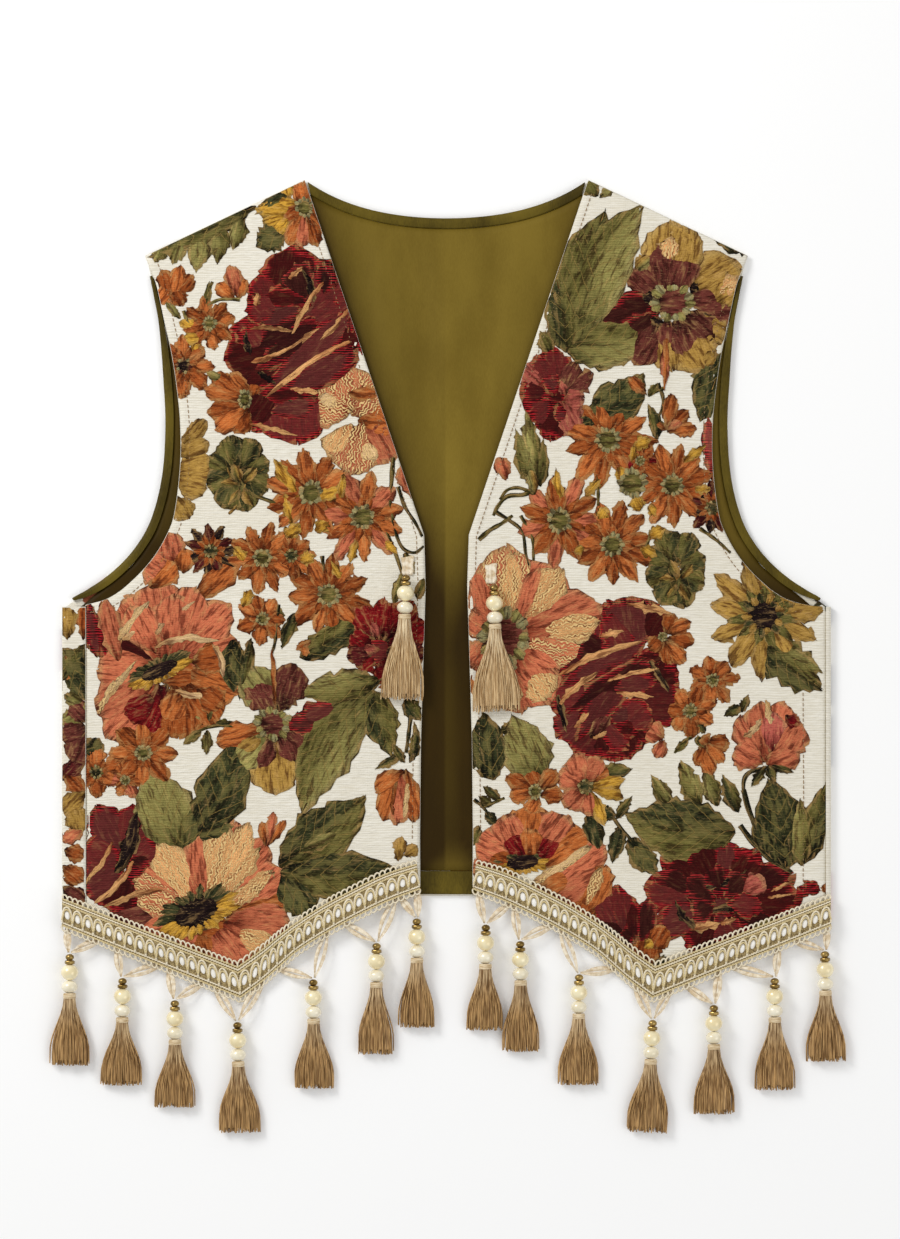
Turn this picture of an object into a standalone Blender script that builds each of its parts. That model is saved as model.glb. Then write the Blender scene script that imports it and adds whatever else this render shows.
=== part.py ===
"""Cropped open-front tapestry waistcoat, laid flat, with braided pointed hems and beaded tassels.

Sizes are in millimetres. +Y runs up the garment and +Z out of the surface that it lies on.
-X is the wearer's right.
"""

import math
from collections import namedtuple

import bmesh
import bpy
import numpy as np
from mathutils import Matrix, Vector

for old in list(bpy.data.objects):
    bpy.data.objects.remove(old, do_unlink=True)

MM = 0.001
SEAM_GAP = 0.3

# Cloth walls and the height of each layer's middle above the table.
SHELL_WALL = 1.4
SHELL_MID = SHELL_WALL / 2
LINING_WALL = 1.0
LINING_MID = SHELL_WALL + SEAM_GAP + LINING_WALL / 2
FRONT_WALL = 2.0
FRONT_UNDER = LINING_MID + LINING_WALL / 2 + SEAM_GAP
BAND_WALL = 1.6
BAND_MID = SHELL_WALL + SEAM_GAP + BAND_WALL / 2
BRAID_WALL = 1.4
RIBBON_WALL = 1.0

# How finely each sheet is divided, across and along.
BACK_ACROSS = 20
LINING_ACROSS = 24
HEM_BAND_ACROSS = 20
NECK_BAND_ACROSS = 22
ARMHOLE_BAND_ACROSS = 20
FRONT_ACROSS = 12
ROLL_ALONG = 2

# Outline of the body, half widths from the centre line.
SIDE_X = 238.5
UNDERARM_Y = 31.5
NECK_POINT = (88.0, 296.0)
SHOULDER_TIP = (187.1, 249.4)
NECK_LOW_Y = 272.2
HEM_CENTRE_Y = -147.3
HEM_SIDE_Y = -163.0
HEM_BAND_TOP_Y = -132.5
EDGE_INSET = 0.5

# Pointed hem of a front: the lower and upper edge of its braid.
# It runs from the side fold past the point to the centre.
HemStop = namedtuple("HemStop", "low_x low_y high_x high_y")
HEM_STOPS = [
    HemStop(238.3, -166.7, 238.0, -148.6),
    HemStop(127.6, -211.7, 129.5, -191.0),
    HemStop(114.4, -201.8, 114.0, -180.0),
    HemStop(104.0, -192.8, 104.6, -172.2),
    HemStop(92.4, -182.6, 93.5, -163.9),
    HemStop(76.0, -172.2, 77.5, -153.6),
    HemStop(59.5, -163.0, 61.5, -145.0),
    HemStop(37.0, -152.0, 38.5, -133.7),
    HemStop(16.2, -144.0, 18.5, -127.3),
]
BRAID_PAST_HEM = 2.0
HEM_POINT_X = HEM_STOPS[1].low_x
CENTRE_X = 16.4

# A front that passes the back's hem comes down to the table over this stretch.
HEM_DROP_START = 19.0
HEM_DROP_RUN = 26.0

# The back wraps round each side fold onto the front, and the front's side seam lies there.
FOLD_RADIUS = 1.8
FOLD_X = SIDE_X - FOLD_RADIUS - SHELL_WALL / 2
SEAM_X_RIGHT = 223.5
SEAM_X_LEFT = 235.3
FOLD_STEPS = 4

# Centre front and neckline.
BREAK_Y = 76.0
BREAK_X = 14.0

BackRow = namedtuple("BackRow", "edge_x edge_y hem_share top_share")
BACK_ROWS = [
    BackRow(FOLD_X, HEM_SIDE_Y, 1.0, 0.0),
    BackRow(FOLD_X, -128.0, 0.45, 0.0),
    BackRow(FOLD_X, -90.0, 0.1, 0.0),
    BackRow(FOLD_X, -48.0, 0.0, 0.0),
    BackRow(FOLD_X, -8.0, 0.0, 0.0),
    BackRow(FOLD_X, UNDERARM_Y, 0.0, 0.0),
    BackRow(222.0, 41.9, 0.0, 0.0),
    BackRow(198.4, 60.3, 0.0, 0.0),
    BackRow(185.3, 79.0, 0.0, 0.0),
    BackRow(178.4, 98.0, 0.0, 0.05),
    BackRow(174.6, 120.0, 0.0, 0.12),
    BackRow(173.5, 145.0, 0.0, 0.25),
    BackRow(175.0, 175.0, 0.0, 0.45),
    BackRow(177.2, 205.0, 0.0, 0.7),
    BackRow(181.3, 228.0, 0.0, 0.87),
    BackRow(186.2, 249.0, 0.0, 1.0),
]

# Soft upright folds of the lining where the neck is open. They fade out near the fronts and the neck.
FOLD_PITCH = 41.0
FOLD_HEIGHT = 1.5
FOLD_WAVER = 0.7
FOLD_MARGIN = 8.0
FOLD_FADE = 16.0
FOLD_NECK_FADE = 30.0
FOLD_NARROWEST = 24.0
FOLD_WIDENING = 20.0
LINING_X = 235.4
LINING_CROWDING = 1.2
LINING_BELOW_SHOULDER = 10.0

LINING_ROWS = [
    BackRow(LINING_X, HEM_BAND_TOP_Y + SEAM_GAP, 0.0, 0.0),
    BackRow(LINING_X, -90.0, 0.0, 0.0),
    BackRow(LINING_X, -45.0, 0.0, 0.0),
    BackRow(LINING_X, 0.0, 0.0, 0.0),
    BackRow(LINING_X, 24.0, 0.0, 0.0),
    BackRow(219.0, 36.0, 0.0, 0.0),
    BackRow(194.0, 55.5, 0.0, 0.0),
    BackRow(180.0, 76.0, 0.0, 0.0),
    BackRow(172.6, 97.0, 0.0, 0.05),
    BackRow(168.4, 122.0, 0.0, 0.15),
    BackRow(167.8, 148.0, 0.0, 0.3),
    BackRow(169.4, 178.0, 0.0, 0.5),
    BackRow(171.6, 206.0, 0.0, 0.75),
    BackRow(176.2, 243.0, 0.0, 1.0),
]

# Outer edge of a front from hem to shoulder, and the height of the same row on its inner edge.
# An edge_x of 0 stands for the side seam.
FrontRow = namedtuple("FrontRow", "edge_x edge_y inner_y hem_share")
FRONT_ROWS = [
    FrontRow(0.0, -168.0, -142.0, 1.0),
    FrontRow(0.0, -158.5, -134.0, 1.0),
    FrontRow(0.0, -149.0, -126.0, 1.0),
    FrontRow(0.0, -128.0, -104.0, 0.85),
    FrontRow(0.0, -102.0, -78.0, 0.6),
    FrontRow(0.0, -74.0, -50.0, 0.38),
    FrontRow(0.0, -44.0, -20.0, 0.16),
    FrontRow(0.0, -8.0, 14.0, 0.02),
    FrontRow(0.0, 31.5, 44.0, 0.0),
    FrontRow(211.3, 35.9, 57.0, 0.0),
    FrontRow(196.2, 46.2, BREAK_Y, 0.0),
    FrontRow(180.4, 63.6, 100.0, 0.0),
    FrontRow(169.0, 87.1, 127.0, 0.0),
    FrontRow(164.7, 116.0, 154.0, 0.0),
    FrontRow(165.2, 148.0, 185.0, 0.0),
    FrontRow(168.6, 180.0, 216.0, 0.0),
    FrontRow(174.2, 206.5, 246.0, 0.0),
    FrontRow(179.5, 230.3, 274.0, 0.0),
    FrontRow(183.5, 241.0, 287.5, 0.0),
    FrontRow(186.8, 249.0, NECK_POINT[1], 0.0),
]

# Centre front edge below the neckline.
CentreStop = namedtuple("CentreStop", "y x")
CENTRE_EDGE = [
    CentreStop(-142.0, CENTRE_X),
    CentreStop(-110.0, 16.6),
    CentreStop(-55.0, 16.0),
    CentreStop(-20.0, 15.0),
    CentreStop(44.0, 13.0),
    CentreStop(BREAK_Y, BREAK_X),
]

# Soft folds across each front, from one end to the other.
# A depth above 0 is a hollow, and one below 0 a ridge.
Crease = namedtuple("Crease", "x0 y0 x1 y1 depth width")
CREASES_RIGHT = [
    Crease(-178.0, 62.0, -112.0, 22.0, 0.9, 13.0),
    Crease(-214.0, -48.0, -146.0, -104.0, -0.9, 14.0),
    Crease(-40.0, 44.0, -58.0, -64.0, -0.7, 12.0),
    Crease(-150.0, 214.0, -120.0, 142.0, -0.8, 13.0),
]
CREASES_LEFT = [
    Crease(184.0, 54.0, 128.0, 4.0, 0.9, 14.0),
    Crease(216.0, -66.0, 160.0, -98.0, -0.9, 14.0),
    Crease(44.0, 34.0, 50.0, -74.0, -0.7, 13.0),
    Crease(146.0, 206.0, 112.0, 150.0, -0.8, 14.0),
]
BUST = (105.0, 32.0, 62.0, 76.0)
BUST_RISE = 2.2
CREASE_FADE = 1.25

# The free edge of a front curls up a little, less towards the hem and the shoulder.
EDGE_CURL = 1.1
CURL_REACH = 7.0
CURL_LOW_Y = -120.0
CURL_GROWTH = 90.0
CURL_NECK_FADE = 40.0

# A front comes down to the back along the shoulder.
SHOULDER_DROP = 1.3
SHOULDER_RUN = 8.0

BandStop = namedtuple("BandStop", "x y width")
ARMHOLE_BAND = [
    BandStop(183.6, 236.5, 1.2),
    BandStop(181.9, 228.0, 2.0),
    BandStop(178.4, 209.5, 2.8),
    BandStop(176.5, 191.0, 4.3),
    BandStop(175.2, 172.0, 5.3),
    BandStop(174.0, 150.0, 5.3),
    BandStop(174.4, 130.0, 5.3),
    BandStop(176.0, 113.0, 5.3),
    BandStop(179.4, 96.5, 5.3),
    BandStop(184.6, 81.5, 5.3),
    BandStop(192.0, 69.0, 5.3),
    BandStop(201.2, 58.2, 5.3),
    BandStop(212.0, 48.9, 5.2),
    BandStop(222.6, 41.9, 4.2),
    BandStop(232.0, 36.6, 1.6),
]
ARMHOLE_ROLL = 1.2
NECK_BAND_WIDTH = 6.0
NECK_BAND_END = 84.0
NECK_BAND_SLANT = 2.0
NECK_ROLL = 0.8

# Loops of the braid's chain from the side fold to the point, and from there to the centre front.
BRAID_SIDE_LOOPS = 17
BRAID_CENTRE_LOOPS = 18
PICOT = 0.7
CHAIN_RISE = 0.9
CHAIN_WAVE = 0.3
BRAID_CLEAR = 0.15

# Beads on their thread, as radius and distance from the top of the stack.
BEAD_PROFILE = [
    (0.0, 0.2),
    (2.0, 0.5),
    (2.7, 2.5),
    (1.7, 4.4),
    (2.95, 5.0),
    (2.95, 6.3),
    (2.9, 7.3),
    (5.2, 10.2),
    (5.2, 13.4),
    (2.6, 16.5),
    (4.7, 18.6),
    (4.8, 22.4),
    (2.4, 24.4),
    (0.0, 24.6),
]
BEAD_SIDES = 8
PEARL_RADIUS = 5.4
BEADS_LENGTH = BEAD_PROFILE[-1][1]
NECK_RADIUS = 3.85
NECK_LENGTH = 3.7
STRANDS = 12
STRAND_SHARE = 0.72
STRAND_DEPTH = 0.55
NECK_TAPER = 0.8
SKIRT_THICK = 6.2
SKIRT_CLEAR = 0.5
DROOP = PEARL_RADIUS - SKIRT_THICK / 2.0
GAP_CHORD = NECK_RADIUS * math.pi / STRANDS

# The fringe opens and flattens from the wrapped neck, at 0, to the ends of its strands, at 1.
Station = namedtuple("Station", "far spread flat")
SKIRT_STATIONS = [
    Station(0.0, 0.0, 0.0),
    Station(0.45, 0.62, 0.85),
    Station(1.0, 1.0, 1.0),
]

# A beaded tassel: top of its beads, lean in degrees, length to the strand ends, half width there.
Tassel = namedtuple("Tassel", "name top_x top_y lean length half_width")
HEM_TASSELS = [
    Tassel("hem_01", -233.4, -183.2, 0.4, 70.7, 13.3),
    Tassel("hem_02", -200.7, -198.1, 0.4, 68.2, 13.8),
    Tassel("hem_03", -168.3, -211.9, 0.0, 68.0, 13.0),
    Tassel("hem_04", -129.6, -225.4, -1.2, 70.1, 13.6),
    Tassel("hem_05", -82.5, -198.9, -0.3, 69.3, 13.0),
    Tassel("hem_06", -43.3, -176.4, 0.3, 70.7, 11.7),
    Tassel("hem_07", -18.4, -161.2, -0.2, 69.1, 12.0),
    Tassel("hem_08", 24.4, -165.0, 0.6, 67.2, 11.9),
    Tassel("hem_09", 45.7, -175.2, -0.6, 70.1, 11.7),
    Tassel("hem_10", 82.2, -195.8, 0.6, 70.2, 12.9),
    Tassel("hem_11", 127.9, -224.1, 3.0, 71.3, 13.3),
    Tassel("hem_12", 165.7, -214.8, 0.0, 69.4, 13.3),
    Tassel("hem_13", 203.4, -198.1, -0.2, 71.1, 13.2),
    Tassel("hem_14", 234.5, -181.5, -0.8, 69.9, 13.2),
]
CHEST_TASSELS = [
    Tassel("chest_right", -24.9, 51.7, 2.2, 79.0, 14.0),
    Tassel("chest_left", 29.4, 45.6, -1.4, 80.4, 15.8),
]

# Feet of the ribbon loop that carries each hem tassel, tucked under the braid's lower edge.
Loop = namedtuple("Loop", "name foot_x other_x")
HEM_LOOPS = [
    Loop("hem_01", -235.3, -214.0),
    Loop("hem_02", -204.5, -176.0),
    Loop("hem_03", -172.4, -149.9),
    Loop("hem_04", -145.1, -112.5),
    Loop("hem_05", -106.3, -73.6),
    Loop("hem_06", -65.0, -31.0),
    Loop("hem_07", -29.6, -18.0),
    Loop("hem_08", 19.4, 40.1),
    Loop("hem_09", 41.6, 67.0),
    Loop("hem_10", 70.0, 106.2),
    Loop("hem_11", 116.1, 139.8),
    Loop("hem_12", 146.9, 169.4),
    Loop("hem_13", 174.2, 206.1),
    Loop("hem_14", 213.3, 235.9),
]
LOOP_TUCK = 1.2
LOOP_FOOT_HALF = 0.5
LOOP_BELLY = 1.2
LOOP_TURN = 0.9
LOOP_STEPS = 12
LOOP_BELLY_END = 0.9
LOOP_TURN_START = 0.95
LOOP_SPLAY = 6.0
LOOP_ABOVE_BEAD = 0.6

# Tab that holds each chest tassel to its front.
Tab = namedtuple("Tab", "name x top_y bottom_y half_width")
CHEST_TABS = [
    Tab("chest_right", -24.0, 62.6, 51.2, 3.3),
    Tab("chest_left", 27.6, 58.0, 45.9, 3.1),
]
TAB_STEPS = 2
TAB_CLEAR = 0.1
# Distances below its top at which a chest tassel may touch the front.
CHEST_TOUCH = (12.0, 30.0, 50.0, 76.0)


def smooth(value):
    """A soft step from 0 to 1."""
    value = min(max(value, 0.0), 1.0)
    return value * value * (3.0 - 2.0 * value)


def mix(low, high, share):
    return low + (high - low) * share


def section(rows, place):
    """The columns of a table at a place from 0, its first row, to 1, its last."""
    at = place * (len(rows) - 1)
    columns = [float(np.interp(at, range(len(rows)), column)) for column in zip(*rows)]
    return type(rows[0])(*columns)


def shoulder_y(x):
    return mix(NECK_POINT[1], SHOULDER_TIP[1], (abs(x) - NECK_POINT[0]) / (SHOULDER_TIP[0] - NECK_POINT[0]))


def neck_y(x):
    """The back neck curve, low in the middle and steeper at its ends."""
    across = abs(x) / NECK_POINT[0]
    return NECK_LOW_Y + (NECK_POINT[1] - NECK_LOW_Y) * (0.7 * across**2 + 0.3 * across**4)


def back_top_y(x):
    return neck_y(x) if abs(x) < NECK_POINT[0] else shoulder_y(x)


def back_hem_y(x):
    return mix(HEM_CENTRE_Y, HEM_SIDE_Y, min(abs(x) / SIDE_X, 1.0) ** 3)


def braid_low_y(x):
    stops = HEM_STOPS[::-1]
    return float(np.interp(abs(x), [stop.low_x for stop in stops], [stop.low_y for stop in stops]))


def front_hem_y(x):
    return braid_low_y(x) + BRAID_PAST_HEM


def front_inner_x(y):
    """The front's free edge: the centre front, then the straight neckline up to the shoulder."""
    if y > BREAK_Y:
        return mix(BREAK_X, NECK_POINT[0], (y - BREAK_Y) / (NECK_POINT[1] - BREAK_Y))
    return float(np.interp(y, [stop.y for stop in CENTRE_EDGE], [stop.x for stop in CENTRE_EDGE]))


def trough(x, y, crease):
    """How deep one crease is at a point: deepest along its line, fading at both ends."""
    run = Vector((crease.x1 - crease.x0, crease.y1 - crease.y0))
    here = Vector((x - crease.x0, y - crease.y0))
    share = here.dot(run) / run.length_squared
    aside = (here - run * min(max(share, 0.0), 1.0)).length
    fade = smooth(CREASE_FADE - abs(2.0 * share - 1.0))
    return crease.depth * math.exp(-((aside / crease.width) ** 2)) * fade


def front_drop(x, y):
    """How high the underside of a front lies: on the back, and lower where it passes the back's hem."""
    past_hem = back_hem_y(x) - y
    return mix(FRONT_UNDER, SKIRT_CLEAR, smooth((past_hem - HEM_DROP_START) / HEM_DROP_RUN))


def front_under(x, y, creases):
    rise = BUST_RISE * math.exp(-(((abs(x) - BUST[0]) / BUST[2]) ** 2) - ((y - BUST[1]) / BUST[3]) ** 2)
    hollow = min(sum(trough(x, y, crease) for crease in creases), rise)
    curl = EDGE_CURL * math.exp(-(max(abs(x) - front_inner_x(y), 0.0) / CURL_REACH))
    curl *= smooth((y - CURL_LOW_Y) / CURL_GROWTH) * smooth((NECK_POINT[1] - y) / CURL_NECK_FADE)
    edge = 0.0
    if abs(x) > NECK_POINT[0] - SHOULDER_RUN:
        edge = smooth(1.0 - (shoulder_y(x) - y) / SHOULDER_RUN)
    return front_drop(x, y) + rise - hollow + curl - SHOULDER_DROP * edge


def creases_of(x):
    return CREASES_RIGHT if x < 0 else CREASES_LEFT


def front_top(x, y):
    return front_under(x, y, creases_of(x)) + FRONT_WALL


def solid_material(name, colour, roughness, metallic=0.0):
    made = bpy.data.materials.new(name)
    made.use_nodes = True
    shader = made.node_tree.nodes["Principled BSDF"]
    shader.inputs["Base Color"].default_value = (*colour, 1.0)
    shader.inputs["Roughness"].default_value = roughness
    shader.inputs["Metallic"].default_value = metallic
    return made


GARMENT = bpy.data.collections.new("waistcoat")
bpy.context.scene.collection.children.link(GARMENT)


def finish(mesh_work, name, material):
    """Turns a mesh drawn in millimetres into a named object in metres."""
    bmesh.ops.scale(mesh_work, vec=(MM, MM, MM), verts=mesh_work.verts)
    mesh = bpy.data.meshes.new(name)
    mesh_work.to_mesh(mesh)
    mesh_work.free()
    mesh.materials.append(material)
    made = bpy.data.objects.new(name, mesh)
    GARMENT.objects.link(made)
    return made


def thicken(made, wall):
    layer = made.modifiers.new("wall", "SOLIDIFY")
    layer.thickness = wall * MM
    layer.offset = 0.0
    layer.use_even_offset = True
    layer.use_quality_normals = True


def cloth(name, across, along, place, wall, material):
    """A sheet whose middle is place(u, v), with u across and v along from 0 to 1."""
    work = bmesh.new()
    bmesh.ops.create_grid(work, x_segments=across, y_segments=along, size=1.0)
    for vert in work.verts:
        vert.co = Vector(place(0.5 + 0.5 * vert.co.x, 0.5 + 0.5 * vert.co.y))
    made = finish(work, name, material)
    thicken(made, wall)
    return made


def back_point(share, row, top):
    """A point of the back, share from -1 at the right edge to 1 at the left one."""
    x = share * row.edge_x
    y = row.edge_y + row.hem_share * (back_hem_y(x) - back_hem_y(row.edge_x))
    return x, y + row.top_share * (top(x) - top(row.edge_x))


def neck_column(share):
    """Moves a column of the back so that one of them meets the neck point."""
    at_point = NECK_POINT[0] / SHOULDER_TIP[0]
    return math.copysign(float(np.interp(abs(share), [0.0, 0.5, 1.0], [0.0, at_point, 1.0])), share)


def bend(reach):
    """Where a flat distance from the centre lies once the cloth has gone round the side fold."""
    past = abs(reach) - FOLD_X
    turn = min(max(past, 0.0), math.pi * FOLD_RADIUS) / FOLD_RADIUS
    x = min(abs(reach), FOLD_X) + FOLD_RADIUS * math.sin(turn) - max(past - math.pi * FOLD_RADIUS, 0.0)
    return math.copysign(x, reach), SHELL_MID + FOLD_RADIUS * (1.0 - math.cos(turn))


def back_shell(material):
    """The tapestry back: one flat cut piece, then bent round both side folds."""
    work = bmesh.new()
    bmesh.ops.create_grid(work, x_segments=BACK_ACROSS, y_segments=len(BACK_ROWS) - 1, size=1.0)
    for vert in work.verts:
        row = BACK_ROWS[round((0.5 + 0.5 * vert.co.y) * (len(BACK_ROWS) - 1))]
        x, y = back_point(neck_column(vert.co.x), row, lambda x: back_top_y(x) - EDGE_INSET)
        vert.co = Vector((x, y, 0.0))
    for side, seam_x in ((-1.0, SEAM_X_RIGHT), (1.0, SEAM_X_LEFT)):
        folded = {
            vert
            for vert in work.verts
            if abs(vert.co.x - side * FOLD_X) < MM and vert.co.y < UNDERARM_Y + MM
        }
        rim = [edge for edge in work.edges if folded.issuperset(edge.verts)]
        quarter = math.pi * FOLD_RADIUS / FOLD_STEPS
        reaches = [FOLD_X + quarter * (step + 1) for step in range(FOLD_STEPS)]
        reaches.append(reaches[-1] + FOLD_X - seam_x)
        for reach in reaches:
            grown = bmesh.ops.extrude_edge_only(work, edges=rim)["geom"]
            rim = [item for item in grown if isinstance(item, bmesh.types.BMEdge)]
            for vert in (item for item in grown if isinstance(item, bmesh.types.BMVert)):
                vert.co.x = side * reach
    for vert in work.verts:
        x, z = bend(vert.co.x)
        vert.co = Vector((x, vert.co.y, z))
    bmesh.ops.recalc_face_normals(work, faces=work.faces)
    thicken(finish(work, "back_shell", material), SHELL_WALL)


def lining_top_y(x):
    return min(neck_y(x) - NECK_BAND_WIDTH - 2.0 * SEAM_GAP, shoulder_y(x) - LINING_BELOW_SHOULDER)


def lining_point(u, v):
    """The lining, drawn flat under the fronts and in soft upright folds where the neck is open."""
    share = 2.0 * u - 1.0
    share = math.copysign(abs(share) ** LINING_CROWDING, share)
    x, y = back_point(share, section(LINING_ROWS, v), lining_top_y)
    opening = front_inner_x(y) if y < NECK_POINT[1] else NECK_POINT[0]
    free = smooth((opening - FOLD_MARGIN - abs(x)) / FOLD_FADE)
    free *= smooth((neck_y(x) - FOLD_MARGIN - y) / FOLD_NECK_FADE)
    free *= smooth((opening - FOLD_NARROWEST) / FOLD_WIDENING)
    wave = 0.5 + 0.5 * math.cos(2.0 * math.pi * x / FOLD_PITCH + FOLD_WAVER * math.sin(y / FOLD_PITCH))
    return x, y, LINING_MID + FOLD_HEIGHT * wave * free


def hem_band_point(u, v):
    x = (2.0 * u - 1.0) * LINING_X
    return x, mix(back_hem_y(x) + EDGE_INSET, HEM_BAND_TOP_Y, v), LINING_MID


def neck_band_point(u, v):
    x = (2.0 * u - 1.0) * (NECK_BAND_END + NECK_BAND_SLANT * v)
    return x, neck_y(x) - NECK_BAND_WIDTH * (1.0 - v), BAND_MID + NECK_ROLL * math.sin(math.pi * v)


def armhole_band_point(side, u, v):
    """The rolled lining edge, its width measured square to the armhole."""
    here = section(ARMHOLE_BAND, u)
    step = 0.5 / (len(ARMHOLE_BAND) - 1)
    before = section(ARMHOLE_BAND, max(u - step, 0.0))
    after = section(ARMHOLE_BAND, min(u + step, 1.0))
    inward = Vector((after.y - before.y, before.x - after.x)).normalized()
    x = here.x + inward.x * here.width * v
    y = here.y + inward.y * here.width * v
    roll = ARMHOLE_ROLL * here.width / ARMHOLE_BAND[5].width
    return side * x, y, BAND_MID + roll * math.sin(math.pi * v)


def front_point(side, seam_x, u, v):
    """A front from its outer edge at u = 0 to its free edge at u = 1, and from hem to shoulder."""
    at = v * (len(FRONT_ROWS) - 1)
    row = section([r._replace(edge_x=r.edge_x or seam_x - SEAM_GAP / 2) for r in FRONT_ROWS], v)
    inner_x = front_inner_x(row.inner_y)
    to_point = (seam_x - HEM_POINT_X) / (seam_x - CENTRE_X)
    share = mix(u, float(np.interp(u, [0.0, 0.5, 1.0], [0.0, to_point, 1.0])), row.hem_share)
    x = mix(row.edge_x, inner_x, share)
    y = mix(mix(row.edge_y, front_hem_y(seam_x), smooth(1.0 - at)), row.inner_y, share)
    chord = mix(front_hem_y(seam_x), front_hem_y(CENTRE_X), share)
    y += row.hem_share * (front_hem_y(mix(seam_x, CENTRE_X, share)) - chord)
    x *= side
    return x, y, front_under(x, y, creases_of(x)) + FRONT_WALL / 2


def braid_places():
    """Where each stop of the hem falls on the braid, counted in half loops of its chain."""
    ends = [Vector((stop.low_x, stop.low_y)) for stop in HEM_STOPS[1:]]
    lengths = [0.0] + [(after - before).length for before, after in zip(ends, ends[1:])]
    run = np.cumsum(lengths) / sum(lengths)
    return [0.0] + [2.0 * (BRAID_SIDE_LOOPS + BRAID_CENTRE_LOOPS * float(share)) for share in run]


BRAID_PLACES = braid_places()


def braid_point(side, u, v):
    """A braid from the side fold to the centre front, with picots on both edges and a raised chain."""
    at = 2.0 * (BRAID_SIDE_LOOPS + BRAID_CENTRE_LOOPS) * u
    stop = HemStop(*(float(np.interp(at, BRAID_PLACES, column)) for column in zip(*HEM_STOPS)))
    odd = round(at) % 2
    x = side * mix(stop.low_x, stop.high_x, v)
    y = mix(stop.low_y, stop.high_y, v) + PICOT * odd * (2.0 * v - 1.0)
    base = front_drop(x, y) + FRONT_WALL + SEAM_GAP + BRAID_CLEAR + BRAID_WALL / 2
    return x, y, base + (CHAIN_RISE + CHAIN_WAVE * odd) * math.sin(math.pi * v)


def loop_point(loop, tassel, z_top, u, v):
    """A ribbon from one foot to the bead, round it in a tight turn and back to the other foot."""
    side = 1.0 if loop.other_x > loop.foot_x else -1.0
    foot_x = loop.foot_x if u < 0.5 else loop.other_x
    foot = (foot_x, braid_low_y(foot_x) + LOOP_TUCK)
    outward = -side if u < 0.5 else side
    down = 1.0 - abs(2.0 * u - 1.0)
    belly = LOOP_FOOT_HALF + LOOP_BELLY * math.sin(math.pi * min(down / LOOP_BELLY_END, 1.0)) ** 2
    splay = outward * LOOP_TURN * min(1.0, (1.0 - down) * LOOP_SPLAY)
    end = (tassel.top_x + splay, tassel.top_y + LOOP_ABOVE_BEAD)
    run = Vector((end[0] - foot[0], end[1] - foot[1]))
    square = Vector((run.y, -run.x)).normalized() * -outward * side
    if down > LOOP_TURN_START:
        square = Vector((0.0, 1.0))
    offset = square * belly * (2.0 * v - 1.0)
    z_foot = front_drop(*foot) + FRONT_WALL - RIBBON_WALL
    return (
        mix(foot[0], end[0], down) + offset.x,
        mix(foot[1], end[1], down) + offset.y,
        mix(z_foot, z_top, smooth(down)),
    )


def tab_point(tab, u, v):
    x = tab.x + tab.half_width * (2.0 * u - 1.0)
    y = mix(tab.bottom_y, tab.top_y, v)
    return x, y, front_top(x, y) + SEAM_GAP + RIBBON_WALL / 2 + TAB_CLEAR


def lay(work, tassel, start, height):
    """Turns a piece drawn along -Y from the origin to lean as its tassel does, and puts it in place."""
    top = Matrix.Translation((tassel.top_x, tassel.top_y, height))
    lean = Matrix.Rotation(math.radians(-tassel.lean), 4, "Z")
    down = Matrix.Translation((0.0, -start, 0.0))
    bmesh.ops.transform(work, matrix=top @ lean @ down, verts=work.verts)


def beads(tassel, height, material):
    """Brass bead, fluted disc and two pearls turned on one axis."""
    work = bmesh.new()
    verts = [work.verts.new((radius, -away, 0.0)) for radius, away in BEAD_PROFILE]
    edges = [work.edges.new(pair) for pair in zip(verts, verts[1:])]
    turn = {"cent": (0.0, 0.0, 0.0), "axis": (0.0, 1.0, 0.0), "angle": 2.0 * math.pi}
    bmesh.ops.spin(work, geom=verts + edges, steps=BEAD_SIDES, use_merge=True, **turn)
    bmesh.ops.remove_doubles(work, verts=work.verts, dist=MM)
    bmesh.ops.recalc_face_normals(work, faces=work.faces)
    lay(work, tassel, 0.0, height)
    finish(work, "beads_" + tassel.name, material)


def widened(spread, tassel):
    return mix(1.0, tassel.half_width / NECK_RADIUS, spread)


def flattened(flat):
    return mix(1.0, SKIRT_THICK / 2.0 / NECK_RADIUS, flat)


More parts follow.
